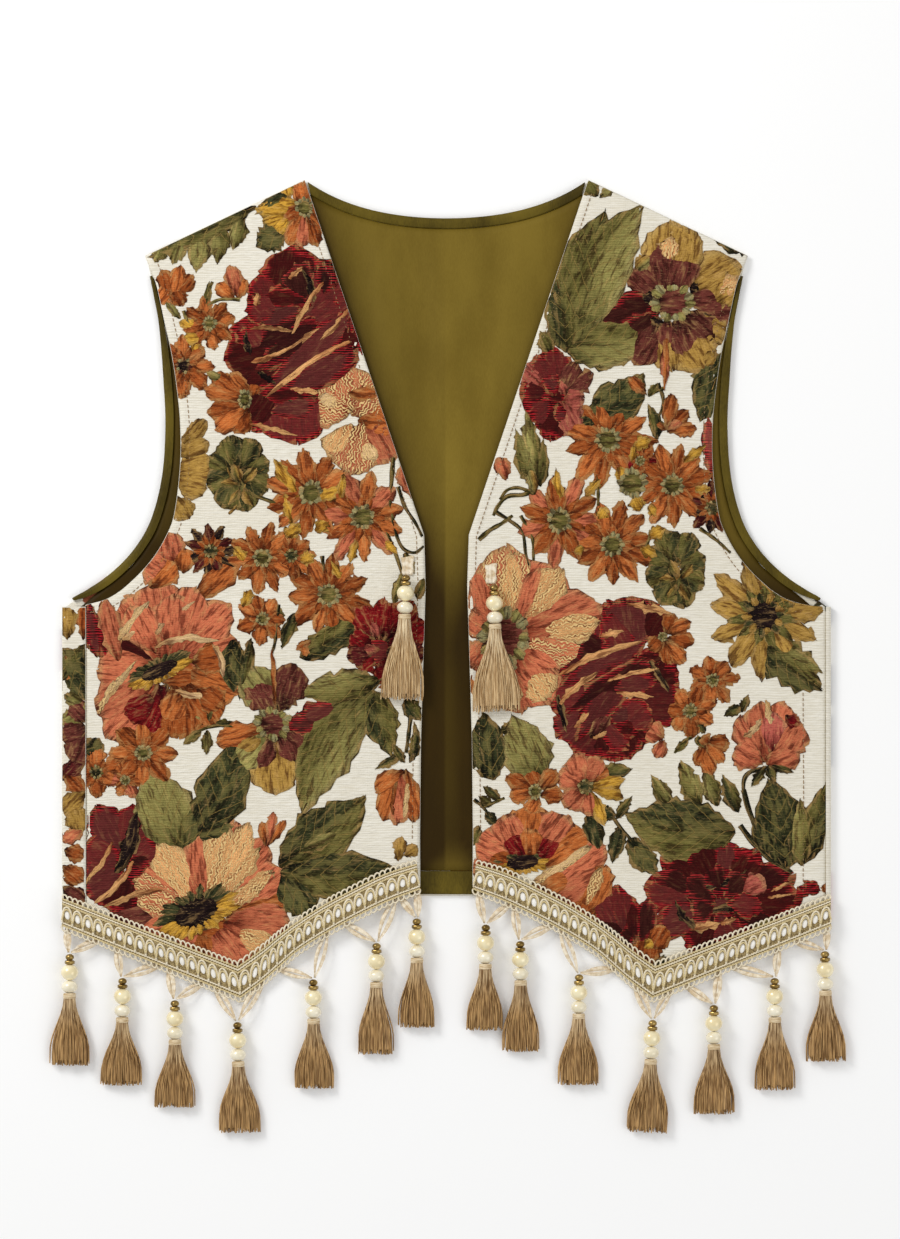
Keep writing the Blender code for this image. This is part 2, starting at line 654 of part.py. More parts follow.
def tassel_skirt(tassel, height, material):
    """The wrapped neck, with every second face of its end drawn out into a strand."""
    work = bmesh.new()
    flat = Matrix.Rotation(math.radians(90.0), 4, "X")
    bmesh.ops.create_circle(work, cap_ends=True, segments=2 * STRANDS, radius=NECK_RADIUS, matrix=flat)
    foot = work.faces[:][0]
    pitch = 2.0 * math.pi / STRANDS
    for vert in work.verts:
        corner = round(2.0 * math.atan2(vert.co.x, vert.co.z) / pitch)
        middle = (corner // 2 + 0.25) * pitch
        angle = middle + (corner % 2 - 0.5) * STRAND_SHARE * pitch
        vert.co = Vector((math.sin(angle), 0.0, math.cos(angle))) * NECK_RADIUS
    rim = list(foot.edges)
    grown = bmesh.ops.extrude_edge_only(work, edges=rim)["geom"]
    top_edges = [item for item in grown if isinstance(item, bmesh.types.BMEdge)]
    for vert in (item for item in grown if isinstance(item, bmesh.types.BMVert)):
        vert.co = Vector((vert.co.x * NECK_TAPER, NECK_LENGTH, vert.co.z * NECK_TAPER))
    top_edges = [edge for edge in top_edges if all(vert.co.y > MM for vert in edge.verts)]
    bmesh.ops.contextual_create(work, geom=top_edges)
    ring = bmesh.ops.inset_region(work, faces=[foot], thickness=NECK_RADIUS * STRAND_DEPTH)["faces"]
    faces = [
        face
        for face in ring
        if max(edge.calc_length() for edge in face.edges if edge in rim) > GAP_CHORD
    ]
    skirt = tassel.length - BEADS_LENGTH - SEAM_GAP - NECK_LENGTH
    before = SKIRT_STATIONS[0]
    for station in SKIRT_STATIONS[1:]:
        faces = bmesh.ops.extrude_discrete_faces(work, faces=faces)["faces"]
        for vert in {vert for face in faces for vert in face.verts}:
            x = vert.co.x / widened(before.spread, tassel)
            z = (vert.co.z + DROOP * before.far) / flattened(before.flat)
            x *= widened(station.spread, tassel)
            vert.co = Vector((x, -skirt * station.far, z * flattened(station.flat) - DROOP * station.far))
        before = station
    bmesh.ops.recalc_face_normals(work, faces=work.faces)
    lay(work, tassel, BEADS_LENGTH + SEAM_GAP + NECK_LENGTH, height)
    finish(work, "tassel_" + tassel.name, material)


TAPESTRY = solid_material("tapestry", (0.52, 0.33, 0.2), 0.9)
SATIN = solid_material("olive_satin", (0.16, 0.105, 0.018), 0.45)
BRAID = solid_material("gold_braid", (0.55, 0.44, 0.25), 0.6)
RIBBON = solid_material("cream_ribbon", (0.78, 0.68, 0.5), 0.5)
BEADS = solid_material("pearl_and_brass", (0.74, 0.62, 0.42), 0.25)
FRINGE = solid_material("tassel_thread", (0.45, 0.3, 0.16), 0.65)

back_shell(TAPESTRY)
cloth("back_lining", LINING_ACROSS, len(LINING_ROWS) - 1, lining_point, LINING_WALL, SATIN)
cloth("hem_band", HEM_BAND_ACROSS, 1, hem_band_point, LINING_WALL, SATIN)
cloth("neck_band", NECK_BAND_ACROSS, ROLL_ALONG, neck_band_point, BAND_WALL, SATIN)

for word, side, seam_x in (("right", -1.0, SEAM_X_RIGHT), ("left", 1.0, SEAM_X_LEFT)):
    cloth(
        "armhole_band_" + word,
        ARMHOLE_BAND_ACROSS,
        ROLL_ALONG,
        lambda u, v: armhole_band_point(side, u, v),
        BAND_WALL,
        SATIN,
    )
    cloth(
        "front_" + word,
        FRONT_ACROSS,
        len(FRONT_ROWS) - 1,
        lambda u, v: front_point(side, seam_x, u, v),
        FRONT_WALL,
        TAPESTRY,
    )
    cloth(
        "braid_" + word,
        2 * (BRAID_SIDE_LOOPS + BRAID_CENTRE_LOOPS),
        ROLL_ALONG,
        lambda u, v: braid_point(side, u, v),
        BRAID_WALL,
        BRAID,
    )

for tassel, loop in zip(HEM_TASSELS, HEM_LOOPS):
    rest = PEARL_RADIUS + SKIRT_CLEAR
    beads(tassel, rest, BEADS)
    tassel_skirt(tassel, rest, FRINGE)
    cloth(
        "loops_" + tassel.name,
        LOOP_STEPS,
        1,
        lambda u, v: loop_point(loop, tassel, rest, u, v),
        RIBBON_WALL,
        RIBBON,
    )

for tassel, tab in zip(CHEST_TASSELS, CHEST_TABS):
    below = [front_top(tassel.top_x, tassel.top_y - away) for away in CHEST_TOUCH]
    rest = max(below) + PEARL_RADIUS + SEAM_GAP
    beads(tassel, rest, BEADS)
    tassel_skirt(tassel, rest, FRINGE)
    cloth("tab_" + tassel.name, 1, TAB_STEPS, lambda u, v: tab_point(tab, u, v), RIBBON_WALL, RIBBON)
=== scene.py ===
# %% [markdown]
# # A tapestry waistcoat, laid flat
# The garment lies on its back, seen from straight above. Two fronts of woven flower tapestry meet an olive
# satin lining, a gold braid closes each pointed hem, and beaded tassels hang from ribbon loops.
# Everything is drawn in millimetres and turned into metres when a piece is finished.

# %% Start
import math
from collections import namedtuple

import bmesh
import bpy
import numpy as np
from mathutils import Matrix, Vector


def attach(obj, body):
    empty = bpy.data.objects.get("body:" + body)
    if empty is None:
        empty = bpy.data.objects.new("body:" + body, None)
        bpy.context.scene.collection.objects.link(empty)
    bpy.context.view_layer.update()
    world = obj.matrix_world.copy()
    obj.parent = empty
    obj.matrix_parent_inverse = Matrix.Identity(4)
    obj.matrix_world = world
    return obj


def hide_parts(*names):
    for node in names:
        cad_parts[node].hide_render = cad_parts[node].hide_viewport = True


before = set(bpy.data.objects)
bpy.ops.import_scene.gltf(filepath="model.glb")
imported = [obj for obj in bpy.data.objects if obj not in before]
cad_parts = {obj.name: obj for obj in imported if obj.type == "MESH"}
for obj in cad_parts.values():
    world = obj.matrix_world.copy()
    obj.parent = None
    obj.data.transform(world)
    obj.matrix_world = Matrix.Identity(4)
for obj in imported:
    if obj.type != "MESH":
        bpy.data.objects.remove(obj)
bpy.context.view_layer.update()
MM = 0.001

# %% [markdown]
# ## Camera, light and table
# The photo looks straight down from far away, so a long lens high above the garment shows its outline with
# almost no perspective. One broad lamp from the upper left gives the folds and the weave their shading, and a
# bright white surround fills the shadows, as in a light tent. The table is a plain pale plane.

# %% Camera, light and table
VIEW_CENTRE = Vector((0.0022, 0.0236, 0.004))
VIEW_HEIGHT = 0.7682
CAMERA_AWAY = 3.2
TABLE_HALF_WIDTH = 4.0

camera_data = bpy.data.cameras.new("camera")
camera_data.sensor_fit = "VERTICAL"
camera_data.sensor_height = 24.0
camera_data.lens = camera_data.sensor_height * CAMERA_AWAY / VIEW_HEIGHT
camera_data.clip_end = 20.0
camera = bpy.data.objects.new("camera", camera_data)
camera.location = VIEW_CENTRE + Vector((0.0, 0.0, CAMERA_AWAY))
bpy.context.scene.collection.objects.link(camera)
bpy.context.scene.camera = camera
bpy.context.scene.view_settings.view_transform = "Standard"

surround = bpy.data.worlds.new("surround")
surround.use_nodes = True
sky = surround.node_tree.nodes["Background"]
sky.inputs["Color"].default_value = (1.0, 1.0, 1.0, 1.0)
sky.inputs["Strength"].default_value = 0.62
bpy.context.scene.world = surround

Lamp = namedtuple("Lamp", "name place size power")
LAMPS = [
    Lamp("key", (-1.25, 1.1, 1.15), 0.7, 21.0),
    Lamp("fill", (1.4, -0.6, 1.6), 1.4, 8.0),
]
for lamp in LAMPS:
    lamp_data = bpy.data.lights.new(lamp.name, "AREA")
    lamp_data.size = lamp.size
    lamp_data.energy = lamp.power
    lamp_object = bpy.data.objects.new(lamp.name, lamp_data)
    lamp_object.location = lamp.place
    lamp_object.rotation_euler = (Vector(lamp.place) - VIEW_CENTRE).to_track_quat("Z", "Y").to_euler()
    bpy.context.scene.collection.objects.link(lamp_object)

table_work = bmesh.new()
bmesh.ops.create_grid(table_work, x_segments=1, y_segments=1, size=TABLE_HALF_WIDTH)
table_mesh = bpy.data.meshes.new("table")
table_work.to_mesh(table_mesh)
table_work.free()
table = bpy.data.objects.new("table", table_mesh)
bpy.context.scene.collection.objects.link(table)
table_finish = bpy.data.materials.new("table_white")
table_finish.use_nodes = True
table_shader = table_finish.node_tree.nodes["Principled BSDF"]
table_shader.inputs["Base Color"].default_value = (0.985, 0.985, 0.98, 1.0)
table_shader.inputs["Roughness"].default_value = 0.9
table_mesh.materials.append(table_finish)
print("lens", round(camera_data.lens, 1), "mm")

# %% [markdown]
# ## Building a material from nodes
# A Blender material is a small graph. A Signal stands for one value in it, and plain arithmetic on a Signal adds
# Math nodes, so that a finish reads from top to bottom like a sum. Positions come from Object coordinates in
# millimetres, or from the UV map and attributes that a piece carries.

# %% Node helpers
class Signal:
    """One value in a node tree."""

    def __init__(self, tree, socket):
        self.tree, self.socket = tree, socket

    def maths(self, operation, other=0.0):
        return value_of(self.tree, "ShaderNodeMath", {0: self, 1: other}, operation=operation)

    def vector(self, operation, other):
        return value_of(self.tree, "ShaderNodeVectorMath", {0: self, 1: other}, operation=operation)

    def parts(self, kind="XYZ"):
        """The three parts of a vector or a colour."""
        made = add_node(self.tree, "ShaderNodeSeparate" + kind, {0: self})
        return [Signal(self.tree, socket) for socket in made.outputs]

    def sine(self):
        return self.maths("SINE")

    def __abs__(self):
        return self.maths("ABSOLUTE")

    def __add__(self, other):
        return self.maths("ADD", other)

    def __sub__(self, other):
        return self.maths("SUBTRACT", other)

    def __mul__(self, other):
        return self.maths("MULTIPLY", other)


def feed(tree, socket, value):
    """Feeds a socket from a Signal, or sets its plain value."""
    if isinstance(value, Signal):
        tree.links.new(value.socket, socket)
    else:
        socket.default_value = value


def add_node(tree, kind, inputs=None, **settings):
    made = tree.nodes.new(kind)
    for name, value in settings.items():
        setattr(made, name, value)
    for name, value in (inputs or {}).items():
        feed(tree, made.inputs[name], value)
    return made


def values_of(tree, kind, names, inputs=None, **settings):
    """Adds a node and gives some of its outputs."""
    made = add_node(tree, kind, inputs, **settings)
    return [Signal(tree, made.outputs[name]) for name in names]


def value_of(tree, kind, inputs=None, output=0, **settings):
    return values_of(tree, kind, [output], inputs, **settings)[0]


def blend(share, low, high, kind="MIX"):
    tree = next(value.tree for value in (share, low, high) if isinstance(value, Signal))
    inputs = {0: share, 6: low, 7: high}
    return value_of(tree, "ShaderNodeMix", inputs, 2, data_type="RGBA", blend_type=kind, clamp_factor=True)


def dimmed(share, colour, factor):
    """A colour brought some way towards its product with a factor."""
    if isinstance(colour, Signal):
        return blend(share, colour, blend(1.0, colour, factor + (1.0,), "MULTIPLY"))
    return blend(share, colour, tuple(part * by for part, by in zip(colour, factor + (1.0,))))


def ramp(value, low, high, to_low=0.0, to_high=1.0):
    """Goes smoothly from to_low to to_high as the value goes from low to high."""
    inputs = {0: value, 1: low, 2: high, 3: to_low, 4: to_high}
    return value_of(value.tree, "ShaderNodeMapRange", inputs, interpolation_type="SMOOTHSTEP")


def millimetres(tree, stretch=(1.0, 1.0, 1.0)):
    """Position in millimetres, stretched so that a pattern can run long in one direction."""
    place = value_of(tree, "ShaderNodeTexCoord", output="Object")
    return place.vector("MULTIPLY", tuple(1000.0 * part for part in stretch))


def noise(place, scale=1.0, detail=2.0, rough=0.5, output="Fac"):
    inputs = {"Vector": place, "Scale": scale, "Detail": detail, "Roughness": rough}
    return value_of(place.tree, "ShaderNodeTexNoise", inputs, output)


def new_finish(name, roughness, metallic=0.0, shine=0.12):
    made = bpy.data.materials.new(name)
    made.use_nodes = True
    shader = made.node_tree.nodes["Principled BSDF"]
    for socket, value in (("Roughness", roughness), ("Metallic", metallic), ("Specular IOR Level", shine)):
        shader.inputs[socket].default_value = value
    return made, made.node_tree, shader


def dress(tree, shader, colour, height, depth_mm, strength=1.0):
    """Colours a shader, and presses a height pattern into the surface, depth in millimetres."""
    feed(tree, shader.inputs["Base Color"], colour)
    inputs = {"Height": height, "Distance": depth_mm * MM, "Strength": strength}
    feed(tree, shader.inputs["Normal"], value_of(tree, "ShaderNodeBump", inputs))


def dye(red, green, blue):
    """A colour given as it looks on a screen, 0 to 255, as the linear light that Blender mixes."""
    return tuple(((part / 255.0 + 0.055) / 1.055) ** 2.4 for part in (red, green, blue)) + (1.0,)


print("node helpers ready")

# %% [markdown]
# ## The weave, shared by every woven surface
# Tapestry cloth shows ribs where the weft packs over the warp, with slubs where a thread is thicker. The group
# gives a height and a tint for those ribs. Each cloth sets its own rib pitch.

# %% Weave group
WARP_PITCH = 1.15
RIB_WANDER = 3.0


def build_weave():
    tree = bpy.data.node_groups.new("weft_ribs", "ShaderNodeTree")
    tree.interface.new_socket("Pitch", in_out="INPUT", socket_type="NodeSocketFloat")
    for name in ("Height", "Tint"):
        tree.interface.new_socket(name, in_out="OUTPUT", socket_type="NodeSocketFloat")
    pitch = value_of(tree, "NodeGroupInput")
    out = tree.nodes.new("NodeGroupOutput").inputs
    x, y, _ = millimetres(tree).parts()
    wander = noise(millimetres(tree, (0.05, 0.22, 0.2)))
    turn = (y + wander * RIB_WANDER).maths("DIVIDE", pitch) * (2.0 * math.pi)
    rib = ramp(turn.sine(), -1.0, 1.0)
    slub = noise(millimetres(tree, (0.16, 1.1, 0.5)), 1.0, 3.0, 0.6)
    warp = (x * (2.0 * math.pi / WARP_PITCH)).sine()
    feed(tree, out["Height"], rib * 0.45 + slub * 1.1 + warp * 0.12)
    feed(tree, out["Tint"], ramp(rib * 0.24 + slub * 0.76, 0.3, 0.72))
    return tree


WEAVE = build_weave()


def weave(tree, pitch):
    """Height and tint of the ribs at a pitch in millimetres."""
    return values_of(tree, "ShaderNodeGroup", ("Height", "Tint"), {"Pitch": pitch}, node_tree=WEAVE)


print("weave group", WEAVE.name)

# %% [markdown]
# ## Finishes
# The ground is unbleached cotton. The flowers carry their dye as a vertex colour, with a number of their own for
# each petal, and four marks per point: how ribbed, how crinkled and how veined the thread is there, and how far
# off the petal's edge lies. So one material serves every flower, with sharp edges and a quilted swell in each
# petal. Thread hardly shines, and a low shine keeps its dark dyes dark under a bright sky. The back's hidden side
# has no photo to follow, so rough blooms in the same dyes are scattered over it as colour alone.

# %% Tapestry finishes
UNDERSIDE_TOP = 2.5


def scattered_blooms(place, ground, dyes):
    """Ragged round blooms over a ground colour, one to a cell, on the hidden underside alone."""
    tree = place.tree
    cells = {"Vector": place, "Scale": 0.024}
    cell, away = values_of(tree, "ShaderNodeTexVoronoi", ("Color", "Distance"), cells, distance="EUCLIDEAN")
    ragged = noise(place, 0.09, 3.0)
    pick = add_node(tree, "ShaderNodeValToRGB", {"Fac": cell.parts("Color")[0]})
    stops = pick.color_ramp
    stops.interpolation = "CONSTANT"
    stops.elements[0].color = dyes[0]
    stops.elements[1].position = 0.99
    stops.elements[1].color = dyes[-1]
    for step, colour in enumerate(dyes[1:], 1):
        stops.elements.new(step / len(dyes)).color = colour
    shade = blend(ramp(ragged, 0.35, 0.7), Signal(tree, pick.outputs[0]), dye(70, 40, 26))
    under = place.parts()[2].maths("LESS_THAN", UNDERSIDE_TOP)
    return blend(ramp(away + ragged * 0.5, 0.62, 0.6) * under, ground, shade)


def ground_finish(name, bloom_dyes=()):
    made, tree, shader = new_finish(name, 0.92)
    ribs, tint = weave(tree, 1.55)
    place = millimetres(tree)
    colour = blend(tint, dye(219, 212, 194), dye(236, 231, 218))
    colour = blend(ramp(noise(place, 0.02), 0.35, 0.75, 0.0, 0.22), colour, dye(214, 204, 180))
    if bloom_dyes:
        colour = scattered_blooms(place, colour, bloom_dyes)
    crinkle = noise(millimetres(tree, (0.16, 0.5, 0.3)), 1.0, 3.0, 0.6)
    dress(tree, shader, colour, ribs * 0.4 + crinkle * 2.4, 0.42, 0.8)
    return made


def flower_finish():
    made, tree, shader = new_finish("tapestry_flowers", 0.85, shine=0.08)
    dyed, own = values_of(tree, "ShaderNodeAttribute", ("Color", "Alpha"), attribute_name="dye")
    marks, edge = values_of(tree, "ShaderNodeAttribute", ("Color", "Alpha"), attribute_name="marks")
    ribbed, crinkled, veined = marks.parts("Color")
    ribs, tint = weave(tree, 1.45)
    place = millimetres(tree)
    thread_place = value_of(tree, "ShaderNodeTexCoord", output="UV")
    across, along, _ = thread_place.parts()

    def lanes(wide, long, detail, rough):
        """Streaks that fan along a petal, different in each petal."""
        spot = {0: across * wide, 1: along * long, 2: own * 90.0}
        return noise(value_of(tree, "ShaderNodeCombineXYZ", spot), 1.0, detail, rough)

    thread, fold = lanes(1.6, 0.13, 3.0, 0.65), lanes(0.42, 0.075, 2.0, 0.6)
    fleck = noise(millimetres(tree, (0.34, 1.9, 1.0)), 1.0, 3.0, 0.7)
    # Broad folds shade a petal, with painted shade in their troughs and a painted highlight of pale thread colour
    # on their crests, and short floats of weft break both up.
    colour = dimmed(ramp(fold, 0.5, 0.36, 0.0, 0.9), dyed, (0.34, 0.25, 0.24))
    colour = blend(ramp(fold, 0.54, 0.72, 0.0, 0.5), colour, blend(0.45, dyed, dye(236, 190, 122)))
    colour = dimmed(ramp(thread, 0.5, 0.66, 0.0, 0.62), colour, (0.42, 0.33, 0.3))
    colour = dimmed(ramp(fleck, 0.52, 0.66, 0.0, 0.6), colour, (0.36, 0.28, 0.26))
    colour = blend(ramp(fleck, 0.42, 0.3, 0.0, 0.28), colour, dye(232, 190, 128))
    # On the red roses bright and black picks alternate towards a petal's edge, over a plain dull red further in.
    zone = noise(place, 0.075, 3.0, 0.6)
    black_pick = blend(1.0, dyed, (0.14, 0.12, 0.14, 1.0), "MULTIPLY")
    bright_pick = blend(0.55, colour, (0.66, 0.024, 0.034, 1.0))
    picks = blend(ramp(tint + zone * 1.5, 0.95, 1.45), black_pick, bright_pick)
    deep = blend(0.7, colour, dye(104, 46, 42))
    deep = dimmed(ramp(own, 0.35, 0.6, 0.95, 0.0), deep, (0.22, 0.15, 0.14))
    deep = dimmed(ramp(tint, 0.55, 0.2, 0.0, 0.5), deep, (0.5, 0.42, 0.42))
    inner = ramp(edge + zone * 16.0, 10.0, 13.5)
    colour = blend(ribbed * 0.9, colour, blend(inner, picks, deep))
    # Pale gimp thread lies in wavy lines over the peach petals.
    swung = noise(place, 0.22, output="Color").vector("MULTIPLY", (4.5, 4.5, 0.0))
    bent_across, bent_along, _ = thread_place.vector("ADD", swung).parts()
    gimp_line = ((bent_across + (bent_along * 1.5).sine() * 0.6) * math.pi).sine()
    gimp = ramp(gimp_line + ramp(fold, 0.35, 0.65, 0.55, -0.75), -0.1, 0.5) * crinkled
    gimp_colour = dimmed(ramp(thread, 0.4, 0.7, 0.0, 0.35), dye(230, 194, 132), (0.6, 0.5, 0.4))
    colour = blend(gimp, colour, gimp_colour)
    # A leaf is light in some lanes and dark in others, ribbed by its weft, with thin ochre veins from its midrib.
    lobe = ramp(lanes(0.2, 0.07, 3.0, 0.62), 0.47, 0.6) * veined
    pale_lane = blend(0.45, dyed, dye(160, 146, 84))
    pale_lane = dimmed(ramp(fleck, 0.45, 0.62, 0.0, 0.35), pale_lane, (0.55, 0.55, 0.45))
    colour = blend(lobe * 0.7, colour, pale_lane)
    colour = dimmed(ramp(tint, 0.55, 0.2) * veined * 0.5, colour, (0.5, 0.5, 0.42))
    slant = along - abs(across) * 1.15 + noise(place, 0.13, 3.0, 0.6) * 5.0
    vein_wave = abs((slant * (math.pi / 9.0)).sine())
    vein = ramp(vein_wave + fleck * 0.4, 0.42, 0.26) * veined
    colour = blend(vein * 0.55, colour, dye(146, 122, 66))
    # A dark outline follows the edge, thick here and thin there: partly a woven outline thread, partly painted
    # shade where the petal's relief drops to its edge. Just inside it, on the fold crests, lies a painted
    # highlight.
    bitten = edge + (fleck - 0.5) * 2.2
    painted_edge_highlight = ramp(bitten, 2.6, 1.5) * ramp(fold, 0.42, 0.6)
    colour = blend(painted_edge_highlight * 0.3, colour, dye(226, 178, 112))
    rim = ramp(bitten, 1.15, 0.55) * ramp(fold, 0.36, 0.6, 0.85, 0.4)
    colour = dimmed(rim, colour, (0.2, 0.14, 0.12))
    relief = ramp(bitten, 0.0, 3.0, 0.0, 2.3) + fold * 1.6 - thread * 0.8 + ribs * 0.4 + gimp * 0.8 - vein * 0.5
    dress(tree, shader, colour, relief, 0.5)
    return made


GROUND = ground_finish("cream_ground")
BLOOM_DYES = [(150, 66, 36), (84, 88, 52), (112, 22, 28), (176, 96, 66), (60, 66, 40), (160, 118, 56)]
BACK_CLOTH = ground_finish("back_tapestry", [dye(*shade) for shade in BLOOM_DYES])
FLOWERS = flower_finish()
print("tapestry finishes", GROUND.name, BACK_CLOTH.name, FLOWERS.name)

# %% [markdown]
# Satin has long floats that catch the light, so it is smoother than the tapestry. Painted shade darkens the
# lining's colour in the gap between the fronts, close under their edges and towards the top. Cord, ribbon and
# tassel thread share one recipe with different dyes: fine strands along the piece, a slight sheen, and painted
# shade that darkens the gaps between strands. A painted highlight lightens the top of each tassel, where its
# threads bend over.

# %% Satin, cord, ribbon and thread
def satin_finish(name, light, dark):
    made, tree, shader = new_finish(name, 0.55, shine=0.1)
    slow = noise(millimetres(tree, (0.03, 0.012, 0.03)), 1.0, 3.0, 0.55)
    shade = slow * 0.75 + noise(millimetres(tree, (2.2, 0.35, 1.0))) * 0.25
    # The hollow mark read here is painted shade: it darkens the lining between the fronts, under their edges and
    # towards the top.
    deep = value_of(tree, "ShaderNodeAttribute", output="Fac", attribute_name="hollow")
    colour = dimmed(deep, blend(ramp(shade, 0.32, 0.68), dark, light), (0.17, 0.13, 0.0))
    dress(tree, shader, colour, shade, 0.5, 0.35)
    return made


def strand_finish(name, light, dark, roughness, stretch, depth=0.18, painted_top_highlight=None):
    """Fine strands, darker in the gaps between them with painted shade. For a tassel, a painted highlight in a
    paler colour lies at its top, where its threads bend over and catch the light.
    """
    made, tree, shader = new_finish(name, roughness, shine=0.3)
    strands = noise(millimetres(tree, stretch), 1.0, 2.0, 0.6)
    if painted_top_highlight:
        down = value_of(tree, "ShaderNodeAttribute", output="Fac", attribute_name="down")
        # Painted highlight: the paler colour at the top of the skirt, where the threads bend over the neck.
        light = blend(ramp(down, 0.02, 0.5), painted_top_highlight, light)
    # The dark dye where the strand pattern is low is painted shade in the gaps between strands.
    dress(tree, shader, blend(ramp(strands, 0.32, 0.68), dark, light), strands, depth, 0.8)
    return made


def tassel_finish(name, light, dark, painted_top_highlight):
    return strand_finish(name, light, dark, 0.45, (1.3, 0.07, 0.9), 0.25, painted_top_highlight)


def ribbon_finish():
    made, tree, shader = new_finish("sheer_ribbon", 0.4, shine=0.4)
    strands = noise(millimetres(tree, (0.35, 0.35, 0.2)), 1.0, 1.0)
    colour = blend(ramp(strands, 0.3, 0.7), dye(226, 202, 162), dye(248, 236, 212))
    dress(tree, shader, colour, strands, 0.1, 0.4)
    feed(tree, shader.inputs["Alpha"], ramp(strands, 0.3, 0.7, 0.7, 0.9))
    return made


def bead_finish(name, light, dark, metallic, coat):
    made, tree, shader = new_finish(name, 0.3, metallic, shine=0.5)
    cloud = noise(millimetres(tree), 0.16, 1.0)
    dress(tree, shader, blend(ramp(cloud, 0.3, 0.7), dark, light), cloud, 0.05, 0.3)
    shader.inputs["Coat Weight"].default_value = coat
    shader.inputs["Coat Roughness"].default_value = 0.12
    return made


SATIN = satin_finish("olive_satin", dye(128, 107, 38), dye(110, 90, 27))
SATIN_BAND = satin_finish("olive_satin_band", dye(104, 88, 26), dye(60, 49, 10))
CORD_GOLD = strand_finish("antique_gold_cord", dye(240, 224, 176), dye(176, 150, 94), 0.4, (2.4, 2.4, 2.4))
CORD_CREAM = strand_finish("cream_cord", dye(246, 238, 218), dye(212, 194, 156), 0.5, (2.2, 2.2, 2.2))
BRAID_BASE = strand_finish("braid_ground", dye(184, 162, 112), dye(90, 70, 34), 0.6, (1.6, 1.6, 1.6), 0.4)
CORE_WHITE = strand_finish("white_core", dye(254, 253, 249), dye(236, 231, 220), 0.5, (2.6, 0.5, 1.0), 0.2)
THREAD_TAN = tassel_finish("tan_tassel_thread", dye(204, 164, 108), dye(118, 84, 44), dye(222, 194, 150))
THREAD_PALE = tassel_finish("pale_tassel_thread", dye(226, 196, 148), dye(158, 122, 76), dye(240, 220, 182))
NECK_WRAP = strand_finish("wrapped_neck", dye(236, 218, 184), dye(190, 160, 114), 0.45, (0.2, 2.0, 0.2), 0.3)
STITCH = strand_finish("brown_stitch", dye(172, 142, 104), dye(120, 90, 58), 0.7, (2.0, 2.0, 2.0))
RIBBON = ribbon_finish()
PEARL_GOLD = bead_finish("golden_pearl", dye(248, 236, 196), dye(238, 220, 172), 0.15, 0.7)
PEARL_WHITE = bead_finish("white_pearl", dye(246, 238, 214), dye(234, 222, 190), 0.1, 0.7)
BRASS = bead_finish("antique_brass", dye(176, 148, 88), dye(116, 92, 46), 0.9, 0.0)
print("finishes", len(bpy.data.materials))

# %% [markdown]
# ## The garment's measures
# These tables give the cut: the armhole and shoulder of a front, the curved pointed hem, the open centre edge.
# The left and right fronts share them. A smooth curve runs through the rows, as a pattern cutter's curve would.
# Heights follow the layers: back, lining, front, with a low swell over the bust and a few soft folds.

# %% Measures of the cut
SHELL_MID = 0.7
LINING_MID = 2.2
FRONT_UNDER = 3.0
FRONT_WALL = 2.0
BAND_MID = 2.5
SIDE_X = 238.5
UNDERARM_Y = 31.5
NECK_POINT = (88.0, 296.0)
SHOULDER_TIP = (187.1, 249.4)
NECK_LOW_Y = 272.2
HEM_CENTRE_Y = -147.3
HEM_SIDE_Y = -163.0
HEM_BAND_TOP_Y = -132.5
CENTRE_X = 16.4
BREAK_X, BREAK_Y = 14.0, 76.0
FOLD_RADIUS = 1.8
FOLD_X = 236.0
LINING_X = 235.4
FRONT_THICK = 1.6
BACK_THICK = 1.3
LINING_THICK = 0.8
SATIN_BAND_THICK = 1.2
BRAID_THICK = 0.9
# The swell over the bust: its middle, half width, half length and rise.
BUST_X, BUST_Y, BUST_WIDE, BUST_LONG, BUST_RISE = 105.0, 32.0, 62.0, 76.0, 2.2
# Past the back's hem a front sinks to the table: where that starts, how long it takes, how high it ends.
DROP_START, DROP_RUN, DROP_END = 19.0, 26.0, 0.5
# The middle of a front's cloth stays this far above the table.
LEAST_HEIGHT = 0.9
SEAMS = {"right": 223.5, "left": 235.3}
SIDES = {"right": -1.0, "left": 1.0}

# Lower and upper edge of the hem braid: x, y, x, y.
HEM_STOPS = [
    (238.3, -166.7, 238.0, -148.6),
    (127.6, -211.7, 129.5, -191.0),
    (114.4, -201.8, 114.0, -180.0),
    (104.0, -192.8, 104.6, -172.2),
    (92.4, -182.6, 93.5, -163.9),
    (76.0, -172.2, 77.5, -153.6),
    (59.5, -163.0, 61.5, -145.0),
    (37.0, -152.0, 38.5, -133.7),
    (16.2, -144.0, 18.5, -127.3),
]
# Side of a front: outer y, inner y, share of the hem's curve.
FRONT_SIDE = [
    (-168.0, -142.0, 1.0), (-158.5, -134.0, 1.0), (-149.0, -126.0, 1.0), (-128.0, -104.0, 0.85),
    (-102.0, -78.0, 0.6), (-74.0, -50.0, 0.38), (-44.0, -20.0, 0.16), (-8.0, 14.0, 0.02), (31.5, 44.0, 0.0),
]
# Armhole of a front: outer x, outer y, inner y.
FRONT_ARMHOLE = [
    (0.0, 31.6, 44.0), (222.9, 32.7, 50.0), (211.3, 35.9, 57.0), (203.0, 40.6, 66.0), (196.2, 46.2, 76.0),
    (188.3, 53.9, 88.0), (180.4, 63.6, 101.0), (173.6, 75.3, 114.0), (169.0, 87.1, 127.0), (165.9, 107.7, 146.0),
    (164.6, 127.4, 165.0), (165.0, 147.3, 184.0), (166.4, 162.0, 199.0), (168.6, 178.5, 215.0),
    (171.1, 192.6, 230.0), (174.5, 207.6, 247.0), (179.5, 230.3, 274.0), (183.5, 241.0, 287.5),
    (186.8, 249.0, 296.0),
]
CENTRE_EDGE = [(-142.0, 16.4), (-110.0, 16.6), (-55.0, 16.0), (-20.0, 15.0), (44.0, 13.0), (76.0, 14.0)]
